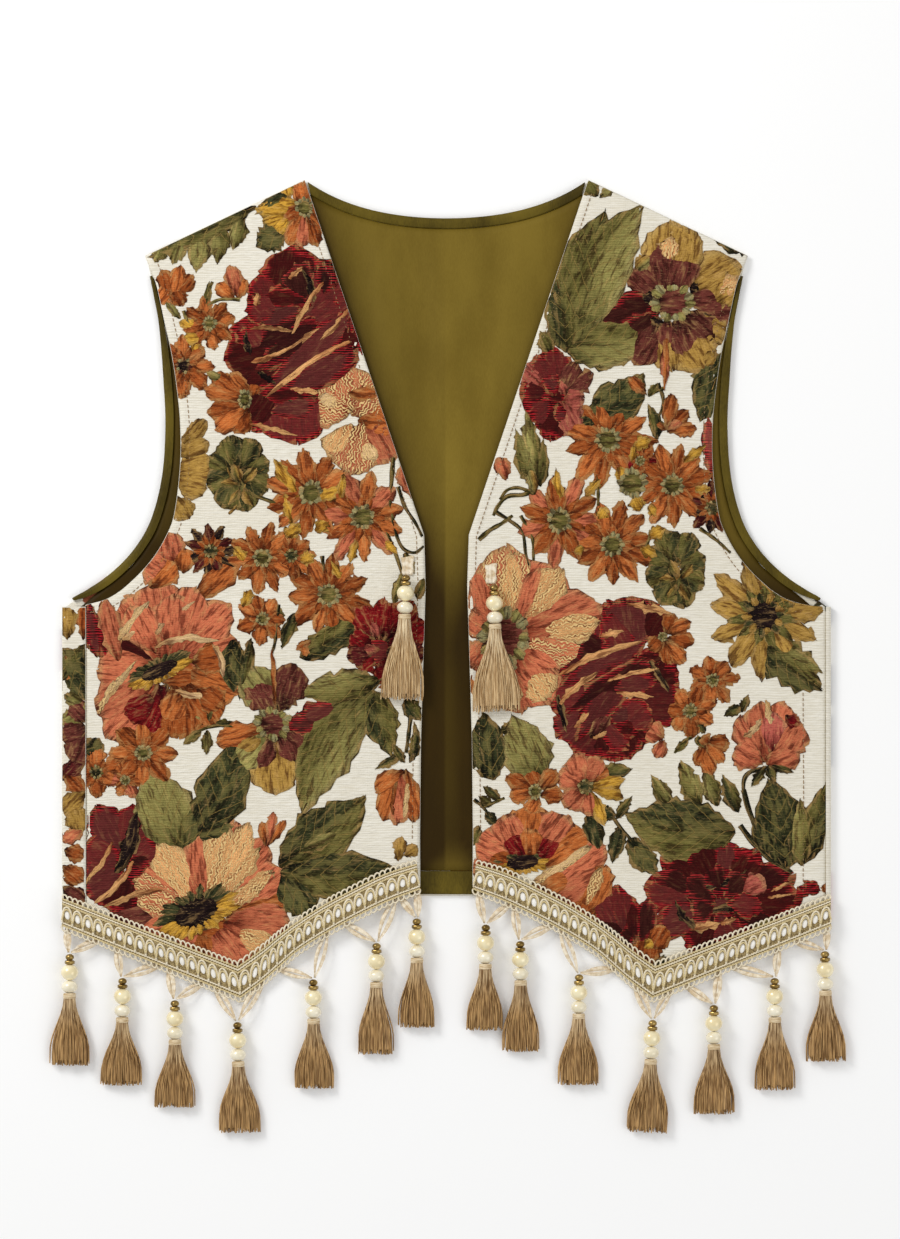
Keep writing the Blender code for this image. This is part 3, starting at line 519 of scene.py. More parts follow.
# Soft folds: from x, y to x, y, depth (a ridge below 0), half width.
CREASES = {
    "right": [
        (-178.0, 62.0, -112.0, 22.0, 0.9, 13.0), (-214.0, -48.0, -146.0, -104.0, -0.9, 14.0),
        (-40.0, 44.0, -58.0, -64.0, -0.7, 12.0), (-150.0, 214.0, -120.0, 142.0, -0.8, 13.0),
    ],
    "left": [
        (184.0, 54.0, 128.0, 4.0, 0.9, 14.0), (216.0, -66.0, 160.0, -98.0, -0.9, 14.0),
        (44.0, 34.0, 50.0, -74.0, -0.7, 13.0), (146.0, 206.0, 112.0, 150.0, -0.8, 14.0),
    ],
}


def smooth(value):
    value = np.clip(value, 0.0, 1.0)
    return value * value * (3.0 - 2.0 * value)


def mix(low, high, share):
    return low + (high - low) * share


def straight(rows, at):
    """The columns of a table at fractional places, straight between its rows."""
    rows = np.asarray(rows, float)
    return [np.interp(at, np.arange(len(rows)), column) for column in rows.T]


def flowing(rows, at):
    """The columns of a table at fractional places, on a smooth curve through its rows."""
    rows = np.asarray(rows, float)
    ends = np.vstack([2.0 * rows[0] - rows[1], rows, 2.0 * rows[-1] - rows[-2]])
    cell = np.clip(np.floor(at).astype(int), 0, len(rows) - 2)
    t = (np.asarray(at) - cell)[..., None]
    before, low, high, after = (ends[cell + step] for step in range(4))
    curve = 2.0 * low + (high - before) * t + (2.0 * before - 5.0 * low + 4.0 * high - after) * t**2
    curve = curve + (3.0 * low - before - 3.0 * high + after) * t**3
    return list(np.moveaxis(0.5 * curve, -1, 0))


def neck_y(x):
    across = np.abs(x) / NECK_POINT[0]
    return NECK_LOW_Y + (NECK_POINT[1] - NECK_LOW_Y) * (0.7 * across**2 + 0.3 * across**4)


def shoulder_y(x):
    return mix(NECK_POINT[1], SHOULDER_TIP[1], (np.abs(x) - NECK_POINT[0]) / (SHOULDER_TIP[0] - NECK_POINT[0]))


def back_top_y(x):
    return np.where(np.abs(x) < NECK_POINT[0], neck_y(x), shoulder_y(x))


def back_hem_y(x):
    return mix(HEM_CENTRE_Y, HEM_SIDE_Y, np.minimum(np.abs(x) / SIDE_X, 1.0) ** 3)


def braid_low_y(x):
    stops = np.array(HEM_STOPS[::-1])
    return np.interp(np.abs(x), stops[:, 0], stops[:, 1])


def front_inner_x(y):
    slope = mix(BREAK_X, NECK_POINT[0], (y - BREAK_Y) / (NECK_POINT[1] - BREAK_Y))
    return np.where(y > BREAK_Y, slope, np.interp(y, *zip(*CENTRE_EDGE)))


def trough(x, y, crease):
    x0, y0, x1, y1, depth, width = crease
    run_x, run_y = x1 - x0, y1 - y0
    share = ((x - x0) * run_x + (y - y0) * run_y) / (run_x**2 + run_y**2)
    held = np.clip(share, 0.0, 1.0)
    aside = np.hypot(x - x0 - run_x * held, y - y0 - run_y * held)
    return depth * np.exp(-((aside / width) ** 2)) * smooth(1.25 - np.abs(2.0 * share - 1.0))


def front_drop(x, y):
    """Where a front's underside lies: on the back, and down on the table past the back's hem."""
    return mix(FRONT_UNDER, DROP_END, smooth((back_hem_y(x) - y - DROP_START) / DROP_RUN))


def bust_swell(x, y):
    return BUST_RISE * np.exp(-(((np.abs(x) - BUST_X) / BUST_WIDE) ** 2) - ((y - BUST_Y) / BUST_LONG) ** 2)


def front_middle(x, y, side):
    """Height of the middle of a front's cloth: the swell over the bust, the folds and the lifted free edge."""
    rise = bust_swell(x, y)
    hollow = np.minimum(sum(trough(x, y, crease) for crease in CREASES[side]), rise)
    curl = 1.1 * np.exp(-np.maximum(np.abs(x) - front_inner_x(y), 0.0) / 7.0) * smooth((y + 120.0) / 90.0)
    curl = curl * smooth((NECK_POINT[1] - y) / 40.0)
    edge = np.where(np.abs(x) > NECK_POINT[0] - 8.0, smooth(1.0 - (shoulder_y(x) - y) / 8.0), 0.0)
    puckers = 0.16 * np.sin(x / 9.0 + 1.9 * np.sin(y / 31.0)) * np.sin(y / 13.0 + 1.3 * np.sin(x / 23.0))
    return front_drop(x, y) + rise - hollow + curl - 1.3 * edge + FRONT_WALL / 2.0 + puckers


print("hem stops", len(HEM_STOPS), "armhole rows", len(FRONT_ARMHOLE))

# %% [markdown]
# ## Making pieces
# Cloth starts as a flat grid. Each point goes to the place that the cut gives it, and a wall is added to both
# sides. Repeated flat things, such as petals and ribbons, are many copies of one small grid in one mesh.
# Cords and threads are curves with a round section, kept as meshes.

# %% Piece builders
def place_points(mesh, points_mm):
    mesh.vertices.foreach_set("co", (np.asarray(points_mm) * MM).astype(np.float32).ravel())
    mesh.update()


def points_of(mesh):
    flat = np.empty(len(mesh.vertices) * 3, np.float32)
    mesh.vertices.foreach_get("co", flat)
    return flat.reshape(-1, 3)


def mark(mesh, name, values):
    """Gives every point of a mesh a number from 0 to 1 that its finish can read."""
    layer = mesh.attributes.new(name, "FLOAT", "POINT")
    layer.data.foreach_set("value", np.clip(values, 0.0, 1.0).astype(np.float32))


def grid_uv(mesh):
    """Places of a fresh grid's points as u and v, each from 0 to 1."""
    return 0.5 + 0.5 * points_of(mesh)[:, 0], 0.5 + 0.5 * points_of(mesh)[:, 1]


def show(name, mesh, finish, slot, *nodes):
    """A finished mesh as a piece that stands for CAD nodes and carries its finish. The slot is not used."""
    mesh.shade_smooth()
    if finish:
        mesh.materials.append(finish)
    made = bpy.data.objects.new(name, mesh)
    bpy.context.scene.collection.objects.link(made)
    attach(made, "root")
    if nodes:
        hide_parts(*nodes)
    return made


def add_wall(made, wall):
    layer = made.modifiers.new("wall", "SOLIDIFY")
    layer.thickness = wall * MM
    layer.offset = 0.0
    layer.use_even_offset = True


def cloth(name, across, along, place, wall, finish, slot, *nodes):
    """A sheet whose middle is place(u, v) in millimetres."""
    work = bmesh.new()
    bmesh.ops.create_grid(work, x_segments=across, y_segments=along, size=1.0)
    mesh = bpy.data.meshes.new(name)
    work.to_mesh(mesh)
    work.free()
    u, v = grid_uv(mesh)
    place_points(mesh, np.column_stack(np.broadcast_arrays(*place(u, v))))
    if mesh.polygons[len(mesh.polygons) // 2].normal.z < 0.0:
        mesh.flip_normals()
    made = show(name, mesh, finish, slot, *nodes)
    add_wall(made, wall)
    return made


def patches(name, points):
    """One mesh of many small grids: points has the shape patches, rows, columns, 3, in millimetres."""
    count, rows, columns, _ = points.shape
    work = bmesh.new()
    bmesh.ops.create_grid(work, x_segments=columns - 1, y_segments=rows - 1, size=1.0)
    template = bpy.data.meshes.new("patch")
    work.to_mesh(template)
    work.clear()
    u, v = grid_uv(template)
    order = np.rint(v * (rows - 1)).astype(int) * columns + np.rint(u * (columns - 1)).astype(int)
    for _ in range(count):
        work.from_mesh(template)
    mesh = bpy.data.meshes.new(name)
    work.to_mesh(mesh)
    work.free()
    bpy.data.meshes.remove(template)
    place_points(mesh, points.reshape(count, rows * columns, 3)[:, order].reshape(-1, 3))
    return mesh, order


def threads(paths, radius, sides=4, closed=False, taper=None):
    """One mesh of round cords along paths of points in millimetres."""
    line = bpy.data.curves.new("cord_line", "CURVE")
    line.dimensions = "3D"
    line.bevel_depth = radius * MM
    line.bevel_resolution = (sides - 4) // 2
    line.use_fill_caps = not closed
    for path in paths:
        spline = line.splines.new("POLY")
        spline.points.add(len(path) - 1)
        flat = np.column_stack([np.asarray(path) * MM, np.ones(len(path))])
        spline.points.foreach_set("co", flat.astype(np.float32).ravel())
        spline.use_cyclic_u = closed
        if taper is not None:
            spline.points.foreach_set("radius", np.asarray(taper, np.float32))
    holder = bpy.data.objects.new("cord_line", line)
    bpy.context.scene.collection.objects.link(holder)
    bpy.context.view_layer.update()
    mesh = bpy.data.meshes.new_from_object(holder.evaluated_get(bpy.context.evaluated_depsgraph_get()))
    bpy.data.objects.remove(holder)
    bpy.data.curves.remove(line)
    return mesh


def nearest_on(x, y, line):
    """The nearest place to each point on a line of straight steps, and how far off it is."""
    near_x, near_y, away = np.copy(x), np.copy(y), np.full(np.shape(x), np.inf)
    for start, end in zip(line, line[1:]):
        run = end - start
        share = np.clip(((x - start[0]) * run[0] + (y - start[1]) * run[1]) / max(run @ run, 1e-9), 0.0, 1.0)
        spot_x, spot_y = start[0] + run[0] * share, start[1] + run[1] * share
        reach = np.hypot(x - spot_x, y - spot_y)
        closer = reach < away
        away = np.where(closer, reach, away)
        near_x, near_y = np.where(closer, spot_x, near_x), np.where(closer, spot_y, near_y)
    return near_x, near_y, away


print("builders ready")

# %% [markdown]
# ## The back and the lining
# The back is one wide panel of the same tapestry. It wraps round both sides, so a strip of it shows on the front
# of the wearer's right side, where the side seam lies forward. The lining covers it, in olive satin with soft
# upright folds in the open neck, and bands finish the neck, the armholes and the hem.

# %% Back panel
BACK_ROWS = [
    (236.0, -163.0, 1.0, 0.0), (236.0, -128.0, 0.45, 0.0), (236.0, -90.0, 0.1, 0.0), (236.0, -48.0, 0.0, 0.0),
    (236.0, -8.0, 0.0, 0.0), (236.0, 31.5, 0.0, 0.0), (222.0, 41.9, 0.0, 0.0), (198.4, 60.3, 0.0, 0.0),
    (185.3, 79.0, 0.0, 0.0), (178.4, 98.0, 0.0, 0.05), (174.6, 120.0, 0.0, 0.12), (173.5, 145.0, 0.0, 0.25),
    (175.0, 175.0, 0.0, 0.45), (177.2, 205.0, 0.0, 0.7), (181.3, 228.0, 0.0, 0.87), (186.2, 249.0, 0.0, 1.0),
]
SIDE_ROWS = 5
STEPS_PER_ROW = 6
FOLD_STEPS, LAID_STEPS = 10, 5


def back_section(at):
    """A row of the back's table: straight up the side, then a smooth curve round the armhole."""
    low = straight(BACK_ROWS[: SIDE_ROWS + 1], np.minimum(at, SIDE_ROWS))
    high = flowing(BACK_ROWS[SIDE_ROWS:], np.maximum(at - SIDE_ROWS, 0.0))
    return [np.where(at < SIDE_ROWS, below, above) for below, above in zip(low, high)]


def back_point(share, row, top):
    edge_x, edge_y, hem_share, top_share = row
    x = share * edge_x
    y = edge_y + hem_share * (back_hem_y(x) - back_hem_y(edge_x))
    return x, y + top_share * (top(x) - top(edge_x))


def bend(reach):
    """Where a flat distance from the centre lies once the cloth has gone round the side fold."""
    past = np.abs(reach) - FOLD_X
    turn = np.clip(past, 0.0, math.pi * FOLD_RADIUS) / FOLD_RADIUS
    beyond = np.maximum(past - math.pi * FOLD_RADIUS, 0.0)
    x = np.minimum(np.abs(reach), FOLD_X) + FOLD_RADIUS * np.sin(turn) - beyond
    return np.copysign(x, reach), SHELL_MID + FOLD_RADIUS * (1.0 - np.cos(turn))


def make_back():
    along = STEPS_PER_ROW * (len(BACK_ROWS) - 1)
    work = bmesh.new()
    bmesh.ops.create_grid(work, x_segments=72, y_segments=along, size=1.0)
    flat = np.array([vert.co[:2] for vert in work.verts])
    at = np.rint((0.5 + 0.5 * flat[:, 1]) * along) / STEPS_PER_ROW
    to_neck_point = [0.0, NECK_POINT[0] / SHOULDER_TIP[0], 1.0]
    column = np.sign(flat[:, 0]) * np.interp(np.abs(flat[:, 0]), [0.0, 0.5, 1.0], to_neck_point)
    x, y = back_point(column, back_section(at), lambda x: back_top_y(x) - 0.5)
    for vert, px, py in zip(work.verts, x, y):
        vert.co = Vector((px, py, 0.0))
    for word, side in SIDES.items():
        outer = {
            vert
            for vert in work.verts
            if abs(vert.co.x - side * FOLD_X) < 0.01 and vert.co.y < UNDERARM_Y + 0.01
        }
        rim = [edge for edge in work.edges if outer.issuperset(edge.verts)]
        turned = [FOLD_X + math.pi * FOLD_RADIUS * (step + 1) / FOLD_STEPS for step in range(FOLD_STEPS)]
        laid = [turned[-1] + (FOLD_X - SEAMS[word]) * (step + 1) / LAID_STEPS for step in range(LAID_STEPS)]
        for reach in turned + laid:
            grown = bmesh.ops.extrude_edge_only(work, edges=rim)["geom"]
            rim = [item for item in grown if isinstance(item, bmesh.types.BMEdge)]
            for vert in (item for item in grown if isinstance(item, bmesh.types.BMVert)):
                vert.co.x = side * reach
    for vert in work.verts:
        px, pz = bend(vert.co.x)
        vert.co = Vector((px, vert.co.y, pz)) * MM
    bmesh.ops.recalc_face_normals(work, faces=work.faces)
    mesh = bpy.data.meshes.new("back")
    work.to_mesh(mesh)
    work.free()
    made = show("back", mesh, BACK_CLOTH, "tapestry", "back_shell")
    add_wall(made, BACK_THICK)
    return made


back = make_back()
print("back", len(back.data.vertices), "points")

# %% Satin lining and its bands
LINING_ROWS = [
    (235.4, -132.2, 0.0, 0.0), (235.4, -90.0, 0.0, 0.0), (235.4, -45.0, 0.0, 0.0), (235.4, 0.0, 0.0, 0.0),
    (235.4, 24.0, 0.0, 0.0), (220.2, 37.2, 0.0, 0.0), (195.2, 56.7, 0.0, 0.0), (181.4, 76.9, 0.0, 0.0),
    (174.2, 97.5, 0.0, 0.05), (170.2, 122.0, 0.0, 0.15), (169.8, 148.0, 0.0, 0.3), (171.4, 178.0, 0.0, 0.5),
    (173.8, 206.0, 0.0, 0.75), (177.6, 243.0, 0.0, 1.0),
]
NECK_BAND_WIDTH = 6.0
# Armhole band: x, y, width.
ARMHOLE_BAND = [
    (183.6, 236.5, 1.2), (181.9, 228.0, 2.0), (178.4, 209.5, 2.8), (176.5, 191.0, 4.3), (175.2, 172.0, 5.3),
    (174.0, 150.0, 5.3), (174.4, 130.0, 5.3), (176.0, 113.0, 5.3), (179.4, 96.5, 5.3), (184.6, 81.5, 5.3),
    (192.0, 69.0, 5.3), (201.2, 58.2, 5.3), (212.0, 48.9, 5.2), (222.6, 41.9, 4.2), (232.0, 36.6, 1.6),
]


def lining_top_y(x):
    return np.minimum(neck_y(x) - NECK_BAND_WIDTH + 0.6, shoulder_y(x) - 10.0)


def lining_place(u, v):
    share = 2.0 * u - 1.0
    share = np.copysign(np.abs(share) ** 1.2, share)
    x, y = back_point(share, straight(LINING_ROWS, v * (len(LINING_ROWS) - 1)), lining_top_y)
    opening = np.where(y < NECK_POINT[1], front_inner_x(y), NECK_POINT[0])
    free = smooth((opening - 8.0 - np.abs(x)) / 16.0) * smooth((neck_y(x) - 8.0 - y) / 30.0)
    wave = 0.5 + 0.5 * np.cos(2.0 * math.pi * x / 41.0 + 0.7 * np.sin(y / 41.0))
    small = 0.35 * np.sin(x / 4.6 + 1.6 * np.sin(y / 38.0)) * np.sin(y / 52.0 + x / 60.0)
    near = smooth((opening - 2.0 - np.abs(x)) / 8.0) * smooth((neck_y(x) - 8.0 - y) / 20.0)
    return x, y, LINING_MID + 1.5 * wave * free * smooth((opening - 24.0) / 20.0) + small * near


def hem_band_place(u, v):
    x = (2.0 * u - 1.0) * LINING_X
    turned = 0.25 * np.exp(-(((v - 0.16) / 0.05) ** 2))
    return x, mix(back_hem_y(x) + 0.5, HEM_BAND_TOP_Y, v), LINING_MID + turned


def neck_band_place(u, v):
    x = (2.0 * u - 1.0) * (84.0 + 2.0 * v)
    ripple = 0.12 * np.sin(x / 3.3 + 2.0 * np.sin(x / 17.0))
    return x, neck_y(x) - NECK_BAND_WIDTH * (1.0 - v), BAND_MID + 0.8 * np.sin(math.pi * v) + ripple * v


def armhole_band_place(side):
    def place(u, v):
        at = u * (len(ARMHOLE_BAND) - 1)
        x, y, width = flowing(ARMHOLE_BAND, at)
        before = flowing(ARMHOLE_BAND, np.maximum(at - 0.5, 0.0))
        after = flowing(ARMHOLE_BAND, np.minimum(at + 0.5, len(ARMHOLE_BAND) - 1.0))
        in_x, in_y = after[1] - before[1], before[0] - after[0]
        in_x, in_y = in_x / np.hypot(in_x, in_y), in_y / np.hypot(in_x, in_y)
        roll = 1.2 * width / 5.3 * np.sin(math.pi * v) ** 0.8 - 0.3 * np.exp(-(((v - 0.55) / 0.09) ** 2))
        ripple = 0.15 * np.sin(at * 9.0 + 2.0 * np.sin(at * 1.7)) * np.sin(math.pi * v)
        return side * (x + in_x * width * v), y + in_y * width * v, BAND_MID + roll + ripple

    return place


def paint_lining_shade(made):
    """Marks painted shade for the satin's colour: in the narrow gap between the fronts, close under their edges,
    more widely under the edge of the wearer's right front, and towards the top.
    """
    x, y, _ = points_of(made.data).T / MM
    opening = front_inner_x(np.minimum(y, NECK_POINT[1]))
    gap = 0.85 * smooth((96.0 - y) / 90.0) * smooth((y + 146.0) / 36.0)
    inside_edge = np.maximum(opening - np.abs(x), 0.0)
    near = 0.42 * np.exp(-inside_edge / 7.0) + 0.4 * (x < 0.0) * np.exp(-inside_edge / 30.0)
    mark(made.data, "hollow", gap + near + 0.1 * smooth((y - 130.0) / 90.0))


lining = cloth("lining", 112, 112, lining_place, LINING_THICK, SATIN, "olive_satin", "back_lining")
paint_lining_shade(lining)
hem_cut = ("lining_hem", 120, 14, hem_band_place, LINING_THICK)
hem_band = cloth(*hem_cut, SATIN_BAND, "olive_satin", "hem_band")
neck_cut = ("neck_band_satin", 120, 8, neck_band_place, SATIN_BAND_THICK)
neck_band = cloth(*neck_cut, SATIN_BAND, "olive_satin", "neck_band")
armhole_bands = []
for word, side in SIDES.items():
    band_cut = ("armhole_satin_" + word, 160, 8, armhole_band_place(side), SATIN_BAND_THICK)
    armhole_bands.append(cloth(*band_cut, SATIN_BAND, "olive_satin", "armhole_band_" + word))
print("lining and", 2 + len(armhole_bands), "bands")

# %% [markdown]
# ## The two fronts
# Each front is one curved panel of tapestry. Its edges are turned under, so the surface rolls down over the last
# millimetres. It lies over the lining, with a soft swell for the bust.

# %% Fronts
def front_outline_rows(word, at):
    """Outer x, outer y, inner y and hem share of a front's row, from the hem at 0 up to the shoulder."""
    side_steps = len(FRONT_SIDE) - 1
    seam = SEAMS[word] - 0.15
    low_y, low_inner, hem_share = straight(FRONT_SIDE, np.minimum(at, side_steps))
    rows = [(seam, 31.5, 44.0)] + FRONT_ARMHOLE[1:]
    high_x, high_y, high_inner = flowing(rows, np.maximum(at - side_steps, 0.0))
    below = ((seam, high_x), (low_y, high_y), (low_inner, high_inner))
    return [np.where(at < side_steps, low, high) for low, high in below] + [hem_share]


def front_hem_y(x):
    return braid_low_y(x) + 2.0


FRONT_STEPS = len(FRONT_SIDE) - 1 + len(FRONT_ARMHOLE) - 1


def front_xy(word, u, v):
    at = v * FRONT_STEPS
    seam = SEAMS[word]
    edge_x, edge_y, inner_y, hem_share = front_outline_rows(word, at)
    inner_x = front_inner_x(inner_y)
    to_point = (seam - HEM_STOPS[1][0]) / (seam - CENTRE_X)
    share = mix(u, np.interp(u, [0.0, 0.5, 1.0], [0.0, to_point, 1.0]), hem_share)
    x = mix(edge_x, inner_x, share)
    low_y = mix(front_hem_y(seam), FRONT_SIDE[1][0], np.minimum(at, 1.0))
    y = mix(np.where(at < 1.0, low_y, edge_y), inner_y, share)
    chord = mix(front_hem_y(seam), front_hem_y(CENTRE_X), share)
    return x, y + hem_share * (front_hem_y(mix(seam, CENTRE_X, share)) - chord)


def front_outline(word):
    """The closed outline of a front, anticlockwise from the outer hem corner."""
    line = np.linspace(0.0, 1.0, 160)
    still = np.ones_like(line)
    parts = [
        front_xy(word, line, 0.0 * still),
        front_xy(word, still, line),
        front_xy(word, line[::-1], still),
        front_xy(word, 0.0 * still, line[::-1]),
    ]
    return np.vstack([np.column_stack(part)[:-1] for part in parts] + [np.column_stack(parts[0])[:1]])


OUTLINES = {word: front_outline(word)[::2] for word in SIDES}


def edge_roll(x, y, word):
    """How far the surface has rolled down near the front's edge."""
    away = nearest_on(np.abs(x), y, OUTLINES[word])[2]
    return 0.75 * smooth(1.0 - away / 3.2) ** 2 + 0.22 * np.exp(-(((away - 5.2) / 1.0) ** 2))


def front_place(word):
    def place(u, v):
        x, y = front_xy(word, u, v)
        x = x * SIDES[word]
        return x, y, front_top(x, y, word) - FRONT_THICK / 2.0

    return place


def front_top(x, y, word):
    """The upper face of a front's cloth, which never dips through the table."""
    return np.maximum(front_middle(x, y, word) - edge_roll(x, y, word), LEAST_HEIGHT) + FRONT_THICK / 2.0


fronts = {}
for word in SIDES:
    panel_cut = ("front_panel_" + word, 96, 184, front_place(word), FRONT_THICK)
    fronts[word] = cloth(*panel_cut, GROUND, "tapestry", "front_" + word)
print("fronts", {word: len(panel.data.vertices) for word, panel in fronts.items()})

# %% [markdown]
# ## The woven flowers
# The tapestry shows roses, peonies, daisies and their leaves. Each flower is built up from petals, and each petal
# is a small quilted patch of coloured weft that lies on the ground cloth. A patch knows its own length and width,
# so its threads can run along it and its outline can be darker. The flowers are placed like those of the garment,
# but every petal's shape comes from the same few rules, with its own uneven edge.

# %% Dyes of the flowers
# Dark base, body and rim of each dye, as seen on a screen.
DYES = {
    "crimson": ((36, 8, 12), (122, 16, 22), (158, 30, 32)),
    "wine": ((34, 10, 13), (86, 26, 27), (118, 38, 37)),
    "maroon": ((50, 20, 16), (106, 52, 43), (142, 84, 64)),
    "pink": ((110, 34, 30), (178, 90, 76), (212, 140, 114)),
    "coral": ((128, 50, 30), (200, 110, 76), (226, 160, 114)),
    "terracotta": ((96, 44, 16), (188, 104, 50), (222, 152, 92)),
    "rust": ((78, 34, 12), (158, 80, 34), (196, 122, 62)),
    "peach": ((182, 108, 62), (222, 164, 106), (238, 200, 142)),
    "cream": ((200, 150, 98), (232, 194, 142), (244, 220, 174)),
    "yellow": ((146, 98, 24), (208, 158, 58), (230, 194, 100)),
    "ochre": ((106, 76, 26), (172, 134, 64), (204, 172, 104)),
    "dark_green": ((24, 27, 14), (56, 60, 34), (86, 84, 48)),
    "olive": ((50, 47, 19), (102, 96, 47), (140, 129, 74)),
    "moss": ((70, 68, 30), (148, 140, 80), (180, 168, 112)),
    "sage": ((84, 80, 46), (156, 152, 106), (202, 196, 150)),
    "black": ((18, 10, 12), (34, 20, 20), (54, 30, 28)),
}
DYE_TABLE = {name: np.array([dye(*shade)[:3] for shade in shades]) for name, shades in DYES.items()}

